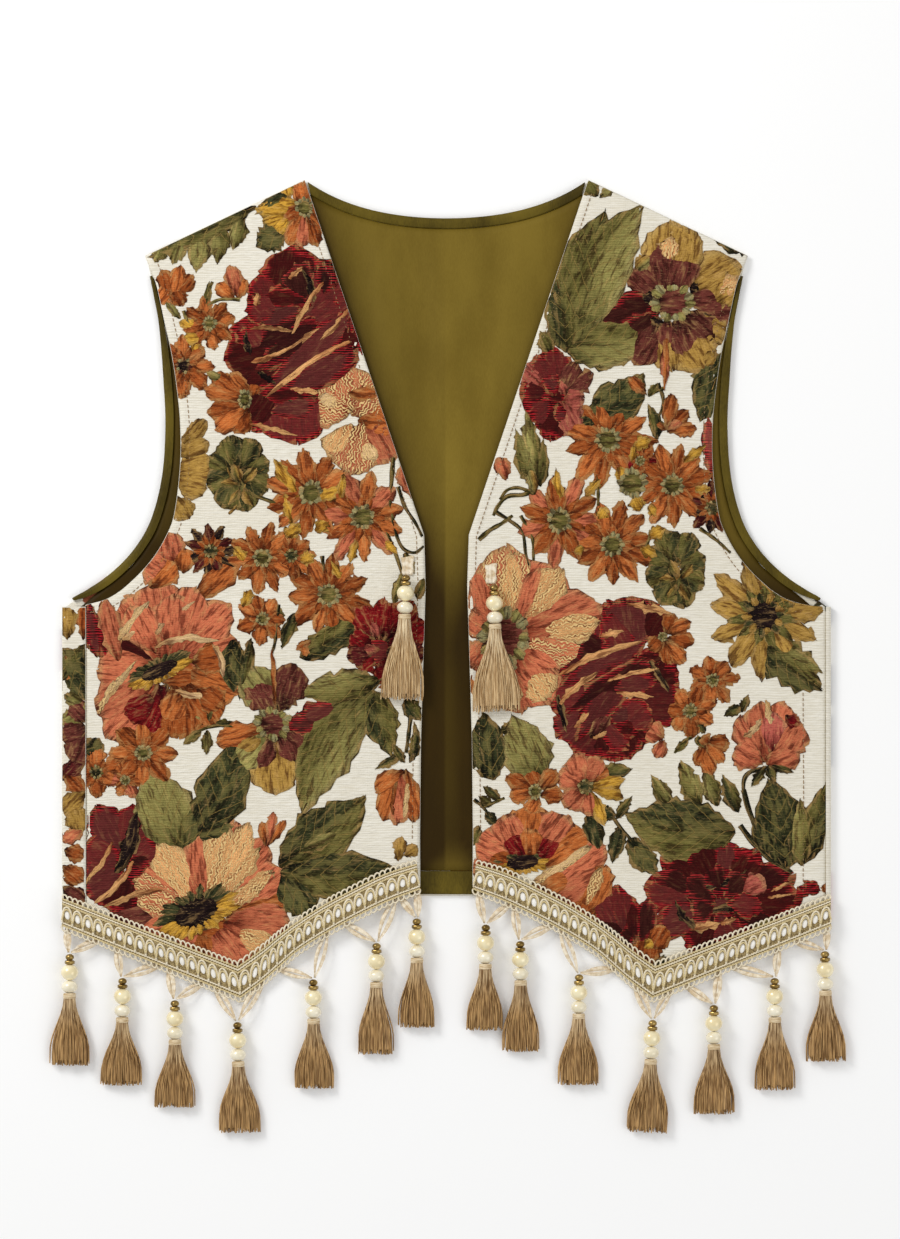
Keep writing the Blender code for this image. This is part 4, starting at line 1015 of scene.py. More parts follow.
# Single petals: base x, y, tip x, y, width, dye, layer. Then the thread, r for ribbed and c for crinkled, the
# frill and the bend, which may be left off from the end where they're plain, .1 and 0.
PETALS = {
    "right": """
-100 200 -114 239 32 crimson 1 r .12; -100 206 -91 255 40 crimson 1 r .12; -91 209 -68 245 33 crimson 1 r .12;
-91 203 -57 222 37 crimson 1 r; -97 191 -51 197 37 crimson 1 r; -100 194 -135 202 29 crimson 1 r .12;
-100 191 -137 184 31 crimson 2 r .12; -103 186 -131 167 29 crimson 1 r .12; -97 184 -59 173 33 wine 1 r;
-100 175 -121 141 35 crimson 1 r .12; -97 177 -92 132 46 crimson 2 r .12; -100 173 -80 144 29 crimson 1 r;
-91 217 -97 245 26 maroon 3 r .15 -20; -77 222 -75 245 16 black 3 r .1 -10;
-104 208 -121 224 24 crimson 3 r .15; -88 222 -117 210 19 black 3 r .2 20;
-83 218 -114 222 17 crimson 4 r .2 -20; -114 189 -126 206 21 crimson 3 r; -123 189 -86 209 21 wine 3 r .08;
-122 176 -77 210 22 wine 4 r .08; -114 162 -60 212 24 wine 4 r .06; -106 161 -55 191 21 wine 5 r .06;
-80 161 -117 165 14 crimson 4 r .15; -111 152 -80 157 19 maroon 4 r; -75 234 -95 201 3 peach 7 - .5 -12;
-60 217 -83 193 3 peach 7 - .5 10; -59 196 -106 165 4 peach 7 - .5 -14; -122 204 -96 202 3 peach 7 - .5 12;
-121 183 -83 202 4 peach 7 - .5 -14; -122 145 -97 139 3 peach 7 - .6; -98 167 -82 165 4 peach 7 - .7;
-118 218 -117 225 4 peach 7 - .5; -98 235 -90 241 3 peach 7 - .5; -90 241 -83 222 5 black 6 - .4 20;
-124 203 -121 188 5 black 6 - .4 -20; -117 177 -106 170 4 black 6 - .4; -100 162 -91 158 4 black 6 - .4 -30;
-59 152 -81 158 27 coral 3 c .12; -59 152 -65 179 35 coral 2 c .12; -59 150 -39 172 35 coral 1 c .12;
-55 147 -31 142 35 terracotta 1 - .12; -59 145 -67 121 27 peach 2 c .12; -52 146 -59 114 29 coral 3 c .12;
-50 147 -35 121 33 coral 2 - .12; -66 161 -77 155 16 cream 4 c; -52 135 -46 121 16 cream 4 c;
-63 165 -42 165 10 terracotta 5 - .2 -20; -170 222 -176 240 12 rust 2; -170 220 -165 243 12 terracotta 3;
-169 222 -157 237 11 rust 2; -171 231 -179 220 12 terracotta 2; -170 231 -164 218 11 rust 3;
-131 222 -142 232 11 terracotta 2 - .05; -129 223 -134 243 12 coral 3 - .05;
-129 222 -126 235 10 terracotta 2 - .05; -148 203 -165 208 9 yellow 2; -149 199 -163 197 9 yellow 3;
-153 197 -159 183 9 yellow 2; -160 177 -166 161 9 terracotta 2; -122 158 -145 175 14 rust 2;
-122 160 -150 166 12 terracotta 3; -122 157 -148 152 14 rust 2; -122 156 -143 142 15 terracotta 3;
-121 155 -131 139 14 rust 2; -121 161 -134 176 12 terracotta 3; -121 161 -117 171 11 rust 2;
-91 281 -109 282 11 yellow 2; -92 277 -117 279 12 yellow 3 - .15; -97 275 -113 269 11 yellow 2 - .15;
-97 274 -106 263 11 yellow 3; -97 284 -100 294 10 yellow 1; -88 279 -92 295 11 terracotta 3;
-88 277 -86 297 10 rust 3; -88 279 -101 272 11 rust 4; -88 277 -98 256 12 terracotta 4;
-88 276 -90 255 12 coral 5; -87 276 -80 255 12 rust 4; -87 277 -75 264 12 terracotta 3;
-87 280 -77 279 11 rust 3; -165 130 -149 147 12 ochre 1; -168 125 -148 134 14 ochre 2;
-169 115 -145 119 24 ochre 1 - .08; -169 110 -149 105 19 ochre 2 - .08; -169 100 -160 86 16 ochre 1 - .08;
-170 57 -174 77 21 coral 1; -173 51 -186 59 22 coral 2; -163 52 -162 68 16 terracotta 1;
-184 42 -168 60 19 terracotta 2 - .12; -156 36 -131 59 19 terracotta 1; -173 -4 -179 46 41 coral 2 - .08;
-174 -4 -200 37 32 coral 1 - .08; -171 -2 -155 43 32 coral 3 - .08; -168 -2 -135 33 27 coral 2 - .08;
-166 -3 -129 10 30 coral 1 - .08; -178 -5 -216 15 31 crimson 0 r .08; -179 -7 -216 -7 33 coral 2 - .06;
-180 -11 -216 -34 31 coral 2 - .08; -178 -16 -210 -50 26 coral 1 - .08; -173 -16 -189 -50 29 crimson 2 - .08;
-168 -16 -166 -50 32 rust 3 - .08; -163 -14 -144 -42 33 rust 2 - .08; -162 -9 -129 -21 32 terracotta 2 - .08;
-180 3 -195 32 25 coral 5; -171 6 -168 39 26 coral 5; -178 -26 -201 -36 21 crimson 4;
-164 -21 -173 -40 21 terracotta 5; -155 -20 -139 -30 20 rust 5; -158 -3 -139 0 21 rust 5;
-202 -7 -212 36 15 coral 4 - .06; -216 -35 -207 -16 4 cream 7 c .4; -212 -26 -194 -4 4 cream 7 c .4;
-207 7 -186 33 7 cream 6 c .3; -201 11 -184 22 4 cream 7 - .5; -184 11 -159 32 4 cream 7 - .5 12;
-181 6 -145 10 4 cream 7 - .4 26; -145 8 -139 -11 4 cream 7 - .3 30; -168 -20 -144 -23 4 cream 7 - .4 -20;
-222 36 -217 1 14 wine 1 r .08; -214 36 -212 -2 9 crimson 2 r; -106 -34 -122 -7 30 moss 2 - .15;
-107 -35 -119 -14 21 maroon 4 - .15; -103 -34 -93 -5 24 maroon 3; -98 -40 -62 -29 16 maroon 2 r .15;
-101 -42 -80 -41 16 maroon 3 r .15; -112 -44 -142 -52 19 terracotta 2; -111 -46 -131 -69 21 moss 3 - .12;
-113 -50 -129 -59 15 ochre 4 - .12; -107 -49 -106 -85 31 ochre 2 - .15; -108 -49 -114 -70 15 maroon 4 - .15;
-103 -47 -96 -66 15 maroon 3 - .15; -101 -45 -88 -57 16 maroon 2 - .15; -106 -30 -108 3 3 terracotta 7 - .3;
-88 8 -87 1 5 terracotta 6; -83 11 -93 5 6 rust 3; -44 11 -56 32 17 crimson 3 - .25;
-41 11 -39 36 19 crimson 4 - .25; -39 10 -21 33 19 crimson 3 - .25; -39 7 -11 20 21 crimson 2 - .25;
-39 3 -13 3 21 wine 3 - .25; -41 2 -31 -18 20 crimson 2 - .25; -45 5 -60 16 16 crimson 2 - .25;
-45 2 -61 1 16 wine 3 - .25; -44 1 -54 -7 15 crimson 2 - .25; -31 11 -23 23 11 pink 5 - .25;
-41 11 -46 23 9 pink 5 - .25; -41 5 -52 5 7 pink 5 - .25; -26 -70 -44 -83 15 terracotta 3 - .06;
-28 -69 -40 -100 16 terracotta 2 - .06; -28 -69 -30 -103 17 coral 3 - .06;
-25 -69 -19 -101 16 terracotta 2 - .06; -31 -72 -33 -96 6 rust 5 - .3; -24 -78 -26 -98 4 cream 6 c .3;
-112 -117 -114 -102 7 terracotta 2 - .05; -111 -117 -107 -96 7 coral 3 - .05;
-111 -117 -100 -101 6 terracotta 2 - .05; -200 -126 -217 -92 27 wine 1 r; -200 -126 -194 -92 29 crimson 1 r .12;
-200 -131 -225 -117 30 crimson 2 r .08; -200 -131 -224 -145 31 wine 2 r .08; -197 -133 -207 -158 31 crimson 2 r;
-196 -127 -178 -112 25 crimson 1 r .15; -197 -124 -186 -133 25 wine 2 r;
-207 -135 -193 -98 12 black 4 - .25 -20; -207 -114 -225 -140 3 peach 7 - .4 14;
-194 -126 -216 -150 4 peach 7 - .4 18; -176 -144 -210 -154 4 peach 7 - .5 -12;
-173 -160 -211 -162 21 maroon 1 - .08; -166 -163 -190 -171 19 coral 2; -154 -158 -189 -129 35 coral 2;
-154 -159 -194 -140 31 coral 3 c; -155 -157 -179 -116 27 peach 3 c; -152 -155 -164 -127 22 coral 2;
-149 -155 -153 -111 24 coral 3; -148 -154 -131 -101 40 coral 2 - .08; -148 -153 -137 -104 25 peach 4 c;
-144 -154 -122 -104 21 peach 3 c; -145 -155 -111 -113 27 coral 1; -140 -157 -101 -131 30 coral 2;
-143 -153 -117 -119 14 peach 4 c .2; -139 -159 -97 -148 31 terracotta 1; -138 -158 -108 -133 14 peach 4 c .15;
-137 -163 -98 -164 31 coral 3; -140 -165 -106 -183 32 coral 2; -131 -169 -108 -180 21 peach 4 c;
-145 -166 -128 -191 31 coral 2; -153 -169 -148 -188 25 terracotta 1; -179 -12 -153 -11 22 rust 1;
-54 4 -32 4 20 crimson 1 r .2; -161 -166 -135 -168 21 rust 1; -171 -171 -152 -178 16 coral 1;
-30 -126 -28 -111 9 ochre 3; -26 -123 -18 -117 9 ochre 3; -20 98 -28 119 12 coral 1
""",
    "left": """
94 286 85 297 14 olive 2; 95 285 103 292 7 moss 2; 140 223 140 270 37 ochre 3 - .12;
140 224 150 268 27 ochre 4 - .12; 140 222 134 261 25 maroon 4; 140 222 147 255 26 maroon 5 - .12;
137 245 140 260 15 peach 6 c .3; 151 222 183 241 40 ochre 3; 151 220 184 222 31 maroon 2;
150 222 171 222 21 maroon 4 - .15; 165 220 183 233 25 ochre 5 - .12; 167 224 182 234 14 peach 6 c .3;
145 212 172 198 27 ochre 2 - .15; 146 213 165 198 21 maroon 4 - .2; 142 210 160 179 29 ochre 3 - .15;
142 210 151 187 21 maroon 5 - .2; 137 209 140 178 24 ochre 2 - .15; 137 210 136 191 16 maroon 4 - .2;
132 210 116 182 27 maroon 2 - .06; 132 217 110 196 21 maroon 1 r; 135 222 91 208 16 maroon 2 r .15;
134 220 103 217 19 wine 3 r .12; 135 224 116 241 22 maroon 2; 135 225 126 251 19 maroon 1;
120 222 130 222 11 black 4 - .4; 157 228 151 230 7 black 5 - .4; 155 214 167 212 6 black 3 - .4;
126 210 135 206 7 black 4 - .4; 137 206 135 168 4 terracotta 7 - .3; 134 191 136 171 6 coral 6 - .3;
167 192 158 181 14 ochre 2 - .2; 68 165 57 187 22 crimson 3 r .2; 69 166 65 192 21 crimson 2 r .2;
70 165 80 182 17 maroon 3 - .25; 72 162 90 176 14 maroon 2 - .25; 72 160 85 161 19 pink 3 - .25;
70 160 79 139 22 pink 3 - .22; 68 160 65 135 24 crimson 2 r .2; 65 160 51 148 24 crimson 3 r .2;
64 163 46 165 25 crimson 2 r .2; 65 166 48 181 21 pink 2 - .2; 68 162 62 177 14 wine 5 r .25;
69 158 72 145 11 wine 5 r .25; 74 162 70 173 7 pink 5 - .3; 124 163 113 173 9 terracotta 4 - .05;
137 141 126 147 6 terracotta 3 - .05; 136 141 140 163 10 terracotta 4 - .05; 137 140 150 153 9 rust 3 - .05;
137 140 155 142 9 terracotta 3 - .05; 137 141 146 148 6 coral 5 - .05; 165 109 162 148 10 pink 1 r .15;
167 98 170 127 9 maroon 1 - .15; 37 110 33 124 11 coral 1; 36 13 23 57 31 coral 2; 37 16 37 69 36 coral 3 c;
36 18 41 65 21 peach 4 c; 41 17 68 57 43 coral 2 - .08; 46 23 72 54 25 peach 4 c .12; 42 18 58 55 14 coral 5;
44 13 95 32 36 coral 3 - .08; 53 17 94 22 24 peach 4 c; 43 10 89 6 29 coral 2 c; 43 5 68 -11 31 coral 2 - .08;
41 3 63 -29 35 coral 3; 49 -7 64 -25 25 peach 4 c; 36 1 46 -34 29 coral 2; 39 -8 44 -29 12 peach 4 c;
33 2 24 -29 27 terracotta 1; 33 11 16 -7 25 coral 2; 31 17 15 28 27 coral 2; 113 -20 99 34 31 crimson 1 r;
116 5 113 37 41 wine 2 r; 116 11 132 32 31 crimson 1 r .12; 115 -4 100 28 25 crimson 3 r .12;
114 -20 142 -4 35 crimson 1 r; 113 -26 145 -25 35 crimson 2 r; 110 -31 129 -50 35 crimson 1 r .12;
103 -34 104 -64 37 crimson 2 r .12; 99 -34 80 -59 31 crimson 1 r; 95 -28 69 -50 27 wine 1 r;
95 -23 65 -28 29 crimson 2 r; 99 -11 69 -5 27 wine 1 r .08; 103 -7 80 11 27 wine 2 r .08;
68 -20 124 15 21 wine 3 r .06; 70 -35 130 -3 21 wine 4 r .06; 80 -52 109 -11 21 wine 5 r .06;
95 -20 130 -14 16 wine 5 r .06; 103 -45 127 -30 24 crimson 5 r .12; 95 -40 113 -56 21 crimson 4 r .12;
100 -36 120 -34 19 black 5 r .2 -24; 103 -41 119 -45 16 crimson 6 r .15; 89 -50 99 -34 12 maroon 6;
86 -41 96 -26 5 black 6 - .3 -20; 69 -23 74 -45 4 black 6 - .3; 126 -2 137 -20 4 black 6 - .3;
95 13 108 16 5 peach 7 - .6; 70 -11 116 8 4 peach 7 - .5 14; 94 -18 127 -8 3 peach 7 - .5 12;
70 -29 91 -11 4 peach 7 - .5 12; 79 -43 98 -21 4 peach 7 - .5 -14; 103 -21 125 -24 4 peach 7 - .6;
111 34 136 28 5 peach 7 - .8; 91 -50 100 -46 3 peach 7 - .5; 114 -40 117 -36 4 peach 7 - .5;
134 13 126 5 11 rust 3 - .15; 135 15 140 27 11 rust 2 - .15; 136 15 151 22 11 terracotta 3 - .15;
136 12 153 10 11 rust 2 - .15; 136 11 147 -3 11 terracotta 3 - .15; 135 11 137 -5 10 rust 2 - .15;
134 -51 122 -46 10 coral 2; 135 -50 126 -40 9 coral 3; 135 -51 130 -62 10 coral 3;
157 -55 165 -72 12 terracotta 3; 161 -52 175 -54 12 rust 2; 161 -54 156 -67 11 rust 3;
160 -52 171 -65 11 terracotta 2; 163 -54 158 -49 10 rust 2; 197 -65 183 -36 22 coral 2 - .06;
198 -65 194 -28 25 coral 3 - .06; 199 -65 210 -28 25 coral 2 - .06; 201 -65 219 -40 25 coral 3 - .06;
198 -66 218 -57 20 coral 4 - .06; 196 -66 179 -56 21 coral 4 - .06; 201 -59 202 -34 19 pink 5 - .08;
210 -36 218 -42 9 crimson 6; 198 -26 203 -52 4 cream 7 c .5; 184 -49 194 -39 4 cream 7 - .5 -30;
55 -83 38 -73 12 rust 3 - .12; 55 -83 39 -86 12 terracotta 4 - .12; 57 -82 51 -69 12 rust 3 - .12;
58 -82 68 -70 12 terracotta 4 - .12; 58 -85 72 -85 12 rust 3 - .12; 57 -86 51 -97 11 terracotta 3 - .12;
85 -80 70 -71 17 coral 3 - .12; 85 -78 79 -60 17 coral 4 - .12; 86 -78 95 -62 17 coral 3 - .12;
86 -81 74 -93 17 coral 3 - .12; 88 -82 90 -98 14 coral 4 - .12; 89 -80 110 -75 10 yellow 4 - .12;
89 -81 109 -86 9 yellow 3 - .12; 90 -83 98 -103 9 yellow 5 - .12; 89 -78 105 -69 9 terracotta 3 - .12;
49 -127 18 -113 29 coral 2; 49 -126 36 -98 30 coral 3; 51 -124 54 -92 31 terracotta 2;
53 -124 74 -98 29 coral 3; 55 -126 88 -109 27 terracotta 2; 48 -129 16 -132 27 coral 1;
51 -127 39 -108 20 crimson 5; 52 -126 52 -106 19 terracotta 6; 54 -127 69 -112 21 crimson 5;
57 -129 80 -117 19 terracotta 4; 46 -129 26 -123 16 rust 4; 52 -148 98 -117 25 coral 2 - .06;
51 -143 89 -117 10 cream 4 c; 63 -154 99 -133 29 coral 3 - .06; 80 -164 98 -129 25 terracotta 3 - .06;
85 -157 96 -131 10 peach 5 c; 58 -143 77 -135 19 terracotta 4 - .06; 74 -169 89 -150 19 rust 4;
109 -173 93 -144 22 crimson 2 r .2; 110 -173 106 -142 19 crimson 3 r .2; 113 -175 93 -162 21 wine 2 r .2;
117 -178 114 -150 15 crimson 3 r .2; 121 -179 125 -150 17 maroon 2 r .2; 115 -179 106 -169 19 wine 3 r .15;
126 -183 136 -166 16 rust 3 - .15; 121 -194 126 -173 19 rust 2 - .15; 122 -181 129 -175 7 yellow 5 - .2;
170 -149 135 -124 27 crimson 2 r .22; 171 -148 152 -114 27 crimson 3 r .22; 172 -148 172 -112 26 wine 2 r .22;
173 -148 192 -119 27 crimson 3 r .22; 175 -149 214 -134 27 wine 2 r .22; 175 -152 218 -148 25 crimson 3 r .22;
172 -155 206 -166 25 wine 2 r .22; 168 -157 179 -179 26 crimson 3 r .22; 166 -157 155 -184 27 crimson 2 r .2;
163 -155 132 -166 26 wine 3 r .22; 163 -150 124 -142 25 crimson 2 r .22; 165 -148 129 -134 21 wine 3 r .22;
167 -153 147 -135 21 maroon 5 r .2; 170 -150 165 -127 21 wine 5 r .2; 172 -150 187 -131 21 maroon 5 r .2;
182 -145 197 -138 16 pink 6 - .2; 172 -153 197 -154 19 crimson 6 r .2; 167 -155 151 -158 20 maroon 6 r .2;
151 -142 182 -133 5 black 7 - .5 -30; 161 -158 189 -160 4 black 7 - .5 30; 142 -150 157 -169 5 black 7 - .5 -30;
151 -169 167 -165 5 peach 7 - .6; 170 -165 179 -162 4 peach 7 - .6; 201 -145 213 -139 2 peach 7 - .6;
198 -149 212 -147 2 peach 7 - .6; 224 -148 218 -142 11 crimson 2 r .2; 223 -147 229 -139 12 crimson 3 r .2;
59 162 77 162 18 crimson 1 r .2; 159 -150 183 -152 22 wine 1 r .2; 237 -147 235 -140 7 rust 2 - .2;
137 -193 130 -188 12 dark_green 3 - .2; 188 -170 204 -164 10 moss 4 - .3
""",
    "strip": """
-235 11 -236 32 14 ochre 2 - .15; -225 11 -225 32 10 rust 1 - .2; -236 3 -231 -20 7 terracotta 1;
-222 -40 -233 -29 16 maroon 3 - .12; -222 -44 -238 -50 21 maroon 2 - .12; -222 -45 -230 -66 21 maroon 3 - .12;
-224 -36 -228 -28 12 moss 2; -233 -88 -226 -108 16 ochre 2 - .12; -224 -83 -237 -96 14 ochre 3 - .12;
-237 -119 -225 -123 12 rust 1 - .12; -238 -129 -226 -139 14 rust 2 - .12; -224 -62 -238 -76 14 wine 1 - .12;
-238 -70 -225 -84 12 rust 1 - .12; -224 -106 -238 -114 10 coral 1 - .12; -238 -142 -225 -152 13 maroon 2 - .12
""",
}
# Leaves: base x, y, tip x, y, width, dyes of both halves, layer, teeth. Then the bend, where there is one.
LEAVES = {
    "right": """
-118 280 -184 249 15 dark_green olive 3 .1; -127 274 -132 253 12 moss olive 2 .1;
-139 270 -142 244 14 moss olive 2 .1; -152 266 -155 239 15 moss moss 2 .1; -164 261 -170 244 12 olive moss 2 .1;
-176 256 -181 245 10 moss olive 2 .1; -97 289 -118 275 11 dark_green olive 2 .1;
-101 265 -118 255 19 dark_green dark_green 2 .15; -165 210 -175 222 5 moss moss 2 0;
-149 217 -147 233 5 olive olive 2 0; -139 172 -149 177 6 moss olive 3 0;
-131 11 -133 -25 25 dark_green dark_green 2 .08 -20; -91 0 -52 28 19 dark_green olive 2 .1 -10;
-121 12 -128 -26 9 dark_green olive 1 .1; -93 28 -102 6 9 dark_green olive 2 .1;
-42 -13 -93 -21 21 moss olive 3 .1 10; -45 -20 -90 -97 37 olive moss 3 .08 -18;
-46 -20 -35 -61 24 dark_green olive 2 .06; -26 -26 -16 -39 12 dark_green olive 2 .06;
-148 -40 -148 -26 7 olive olive 3 0 -10; -150 -39 -159 -34 6 olive moss 3 0;
-152 -45 -163 -54 6 olive olive 3 0; -148 -45 -149 -60 7 olive moss 3 0;
-143 -41 -133 -40 5 dark_green olive 3 0; -166 -121 -185 -69 40 moss moss 2 .06;
-164 -123 -159 -88 25 dark_green olive 1 .06; -154 -111 -129 -49 33 dark_green dark_green 3 .03 -10;
-155 -113 -131 -104 25 dark_green dark_green 2 .03; -104 -129 -52 -86 37 olive dark_green 3 .07 -10;
-103 -133 -28 -133 31 olive dark_green 4 .07 -6; -103 -131 -81 -162 29 dark_green dark_green 2 .08;
-91 -121 -65 -107 12 olive moss 5 .07; -215 -50 -224 -65 14 dark_green dark_green 1 .08;
-33 33 -25 57 7 olive moss 2 .08; -26 65 -20 52 7 olive moss 2 .08; -18 36 -14 49 7 olive olive 2 .08;
-28 -61 -44 -69 6 dark_green olive 5 .1; -26 -65 -33 -54 6 dark_green olive 5 .1;
-23 -65 -20 -40 7 dark_green olive 2 .1 -20; -72 26 -64 16 7 olive olive 1 .1;
-111 33 -100 26 6 olive olive 1 .1
""",
    "left": """
79 203 98 277 38 dark_green olive 3 .03 10; 78 194 121 281 41 moss olive 4 .05 16;
74 192 127 202 32 moss olive 3 .08 -10; 75 189 122 189 25 olive moss 2 .08 10;
74 189 68 237 25 olive dark_green 3 .06 -10; 65 189 58 202 11 olive olive 2 .06;
117 241 127 249 10 moss ochre 4 .1; 187 251 165 261 10 dark_green dark_green 2 .1;
171 189 157 147 29 dark_green dark_green 2 .06 10; 86 146 121 176 29 dark_green dark_green 2 .05 -20;
93 151 85 141 14 dark_green dark_green 2 .1; 130 135 125 157 9 dark_green olive 2 .05 -20;
125 162 131 170 5 olive olive 4 0; 55 105 43 141 14 moss olive 3 .1; 57 110 49 153 11 olive moss 4 .15;
58 106 60 135 10 olive olive 3 .1; 55 101 51 120 7 ochre moss 5 .1;
194 15 233 -20 29 dark_green olive 3 .12 -10; 201 5 233 -9 15 olive moss 4 .12;
179 -107 111 -98 42 dark_green olive 3 .08 16; 157 -92 145 -64 14 moss olive 2 .08;
168 -92 160 -69 12 olive moss 2 .08; 181 -96 171 -73 11 olive dark_green 2 .08;
139 -92 127 -73 11 moss olive 2 .08; 157 -101 137 -114 31 dark_green dark_green 2 .08;
210 -131 199 -76 36 dark_green dark_green 3 .05 -10; 220 -129 219 -88 16 olive moss 4 .05;
220 -129 240 -73 20 dark_green olive 2 .05; 108 -104 103 -127 11 dark_green dark_green 3 .08;
113 -112 130 -135 16 dark_green dark_green 3 .08; 104 -100 95 -93 9 dark_green dark_green 3 .08;
105 -100 115 -86 7 dark_green olive 3 .08; 94 -73 115 -69 12 dark_green olive 2 .08;
88 -96 95 -121 12 dark_green dark_green 2 .08; 58 -77 41 -36 32 moss moss 3 .06;
29 -76 22 -35 26 dark_green dark_green 2 .05; 33 -46 51 -40 9 olive olive 1 .05;
33 -88 23 -80 7 dark_green olive 2 .05; 28 -92 20 -86 7 olive olive 2 .05;
24 -96 32 -104 7 dark_green dark_green 2 .05; 20 -104 16 -117 7 olive olive 2 .05;
183 -30 172 -36 7 dark_green olive 1 .1; 183 -34 187 -23 6 dark_green olive 1 .1;
198 -67 189 -80 6 dark_green olive 5 .1; 199 -67 204 -77 7 dark_green olive 5 .1;
201 -66 215 -71 6 dark_green olive 5 .1; 160 -47 156 -40 6 dark_green olive 1 .1;
150 -51 141 -59 5 olive olive 1 0
""",
    "strip": """
-238 6 -220 -28 25 dark_green dark_green 2 .08; -237 -23 -225 -29 9 moss olive 3 .1;
-223 -32 -239 -42 14 moss olive 1 .1; -238 -14 -224 8 14 dark_green olive 1 .1
""",
}
# Daisies: x, y, radius, two dyes, petals, turn, squash, centre.
DAISIES = {
    "right": """
-84 102 29 terracotta rust 11 0 1 grey; -52 87 29 coral terracotta 11 12 1 grey;
-114 62 22 terracotta rust 10 5 1 grey; -96 63 16 rust terracotta 9 0 1 olive;
-73 39 27 terracotta rust 11 20 1 grey; -147 207 17 rust terracotta 8 10 1 grey;
-163 181 19 rust terracotta 8 0 1 dark; -114 24 16 terracotta rust 7 0 1 grey;
-146 66 17 wine black 11 0 1 olive; -188 -59 22 rust terracotta 8 0 .8 grey;
-217 -71 16 terracotta rust 6 30 1 olive; -199 -76 12 coral terracotta 6 0 1 grey
""",
    "left": """
100 135 29 terracotta rust 11 0 1 grey; 140 107 26 terracotta rust 11 14 1 grey;
70 85 29 rust coral 11 0 1 grey; 103 70 27 terracotta rust 11 8 1 grey; 120 122 12 rust crimson 7 0 1 grey;
165 93 17 wine black 11 0 1 olive; 197 26 37 ochre ochre 11 8 1 black; 165 -14 16 terracotta rust 7 0 1 grey;
151 -33 17 rust terracotta 7 20 1 grey
""",
}
# Round dark leaf clusters: x, y, half width, half height.
CLUSTERS = {
    "right": """
-129 114 20 24
""",
    "left": """
142 55 19 25
""",
}
# Yellow threads that brighten the daisies: base x, y, tip x, y, width.
ACCENTS = {
    "right": """
-91 98 -106 121 9; -81 98 -66 105 10; -66 98 -64 113 7; -96 83 -100 101 7; -81 78 -73 85 9; -100 75 -91 82 9;
-91 60 -82 63 9; -64 46 -71 59 6; -124 59 -131 68 7; -121 42 -126 32 7; -56 73 -60 59 6; -39 73 -31 65 5
""",
    "left": """
70 94 68 116 6; 86 100 95 110 6; 116 131 126 135 9; 108 121 109 106 7; 115 121 116 131 6; 120 91 116 100 10;
126 95 130 88 7; 95 85 99 93 9; 147 121 160 131 6; 153 103 163 105 6; 126 75 135 80 9; 120 68 130 63 8;
79 65 85 68 6
""",
}
# Stems: dye, width, then x and y of each point.
STEMS = {
    "right": """
olive 3.1 -128 101 -118 100 -106 96 -97 96; ochre 2.5 -129 99 -133 109 -137 121;
ochre 2.5 -128 101 -135 105 -144 106; ochre 2.5 -127 101 -122 111 -113 117; ochre 2.5 -128 99 -131 93 -135 89;
olive 3.1 -33 124 -34 110 -35 95 -33 85; dark_green 2.5 -30 106 -26 94 -19 83 -15 75;
dark_green 2.5 -34 85 -28 69 -20 65 -14 69; olive 2.5 -38 80 -30 60 -26 42 -29 23;
moss 2.5 -163 215 -160 208 -155 206; olive 2.5 -149 219 -147 228 -145 233; moss 2.5 -128 222 -140 222 -149 218;
olive 2.5 -129 -44 -139 -42 -150 -44 -159 -49; olive 2.5 -116 -118 -119 -127 -122 -133;
dark_green 2.5 -104 33 -106 11 -108 3; dark_green 3.1 -21 -26 -23 -44 -25 -59;
dark_green 3.1 -46 -19 -36 -8 -31 5; dark_green 2.5 -77 63 -76 52 -77 48; moss 2.5 -72 29 -66 36 -59 33
""",
    "left": """
olive 3.1 55 105 48 101 38 100 32 94 29 88; olive 2.5 54 101 46 105 38 104 33 98;
dark_green 2.5 31 90 39 85 47 78 49 65 51 57; olive 3.1 20 73 27 79 34 83 41 88; olive 2.5 46 88 53 75 54 60;
dark_green 2.5 131 170 134 162 134 155 130 147; olive 2.5 135 167 130 165 125 162;
olive 3.1 157 -49 155 -52 160 -56; olive 2.5 152 -49 147 -52 142 -57;
dark_green 3.1 198 -69 188 -71 184 -78 186 -92 192 -107; dark_green 3.1 184 -82 192 -106 202 -119 210 -131;
dark_green 3.7 182 -104 192 -117 203 -127 214 -133; dark_green 2.5 99 -92 106 -103 115 -114 121 -126;
olive 2.5 23 -92 29 -90 36 -87; dark_green 2.5 17 -88 23 -93 29 -102; olive 2.5 157 80 167 73 176 65;
olive 2.5 93 116 94 104 94 94; olive 2.5 127 79 124 70 120 65; ochre 2.5 142 43 142 58 136 65;
ochre 2.5 145 60 137 68 129 73; ochre 1.9 142 48 147 54 151 60
""",
}
# Flower centres: kind, x, y, half width, half height, turn.
CENTRES = {
    "right": """
long -178 -8 21 7 26; long -155 -158 26 13 24; ring -108 -41 11 10 0; grey -125 160 4 6 0; grey -88 279 6 6 0
""",
    "left": """
ring 140 220 13 12 0; ring 36 13 16 19 0; long 47 -127 16 7 6; grey 55 -83 4 5 0; olive 86 -80 5 5 0;
grey 134 13 3 3 0; grey 115 108 9 9 0
""",
}


def parsed(table, fewest=0, usual=()):
    """Rows of numbers and names from a table in text, with the usual last values where a row leaves them off."""
    parts = {}
    for part, rows in table.items():
        split = [[float(word) if word[-1].isdigit() else word for word in row.split()] for row in rows.split(";")]
        parts[part] = [row + list(usual[len(row) - fewest:]) if usual else row for row in split]
    return parts


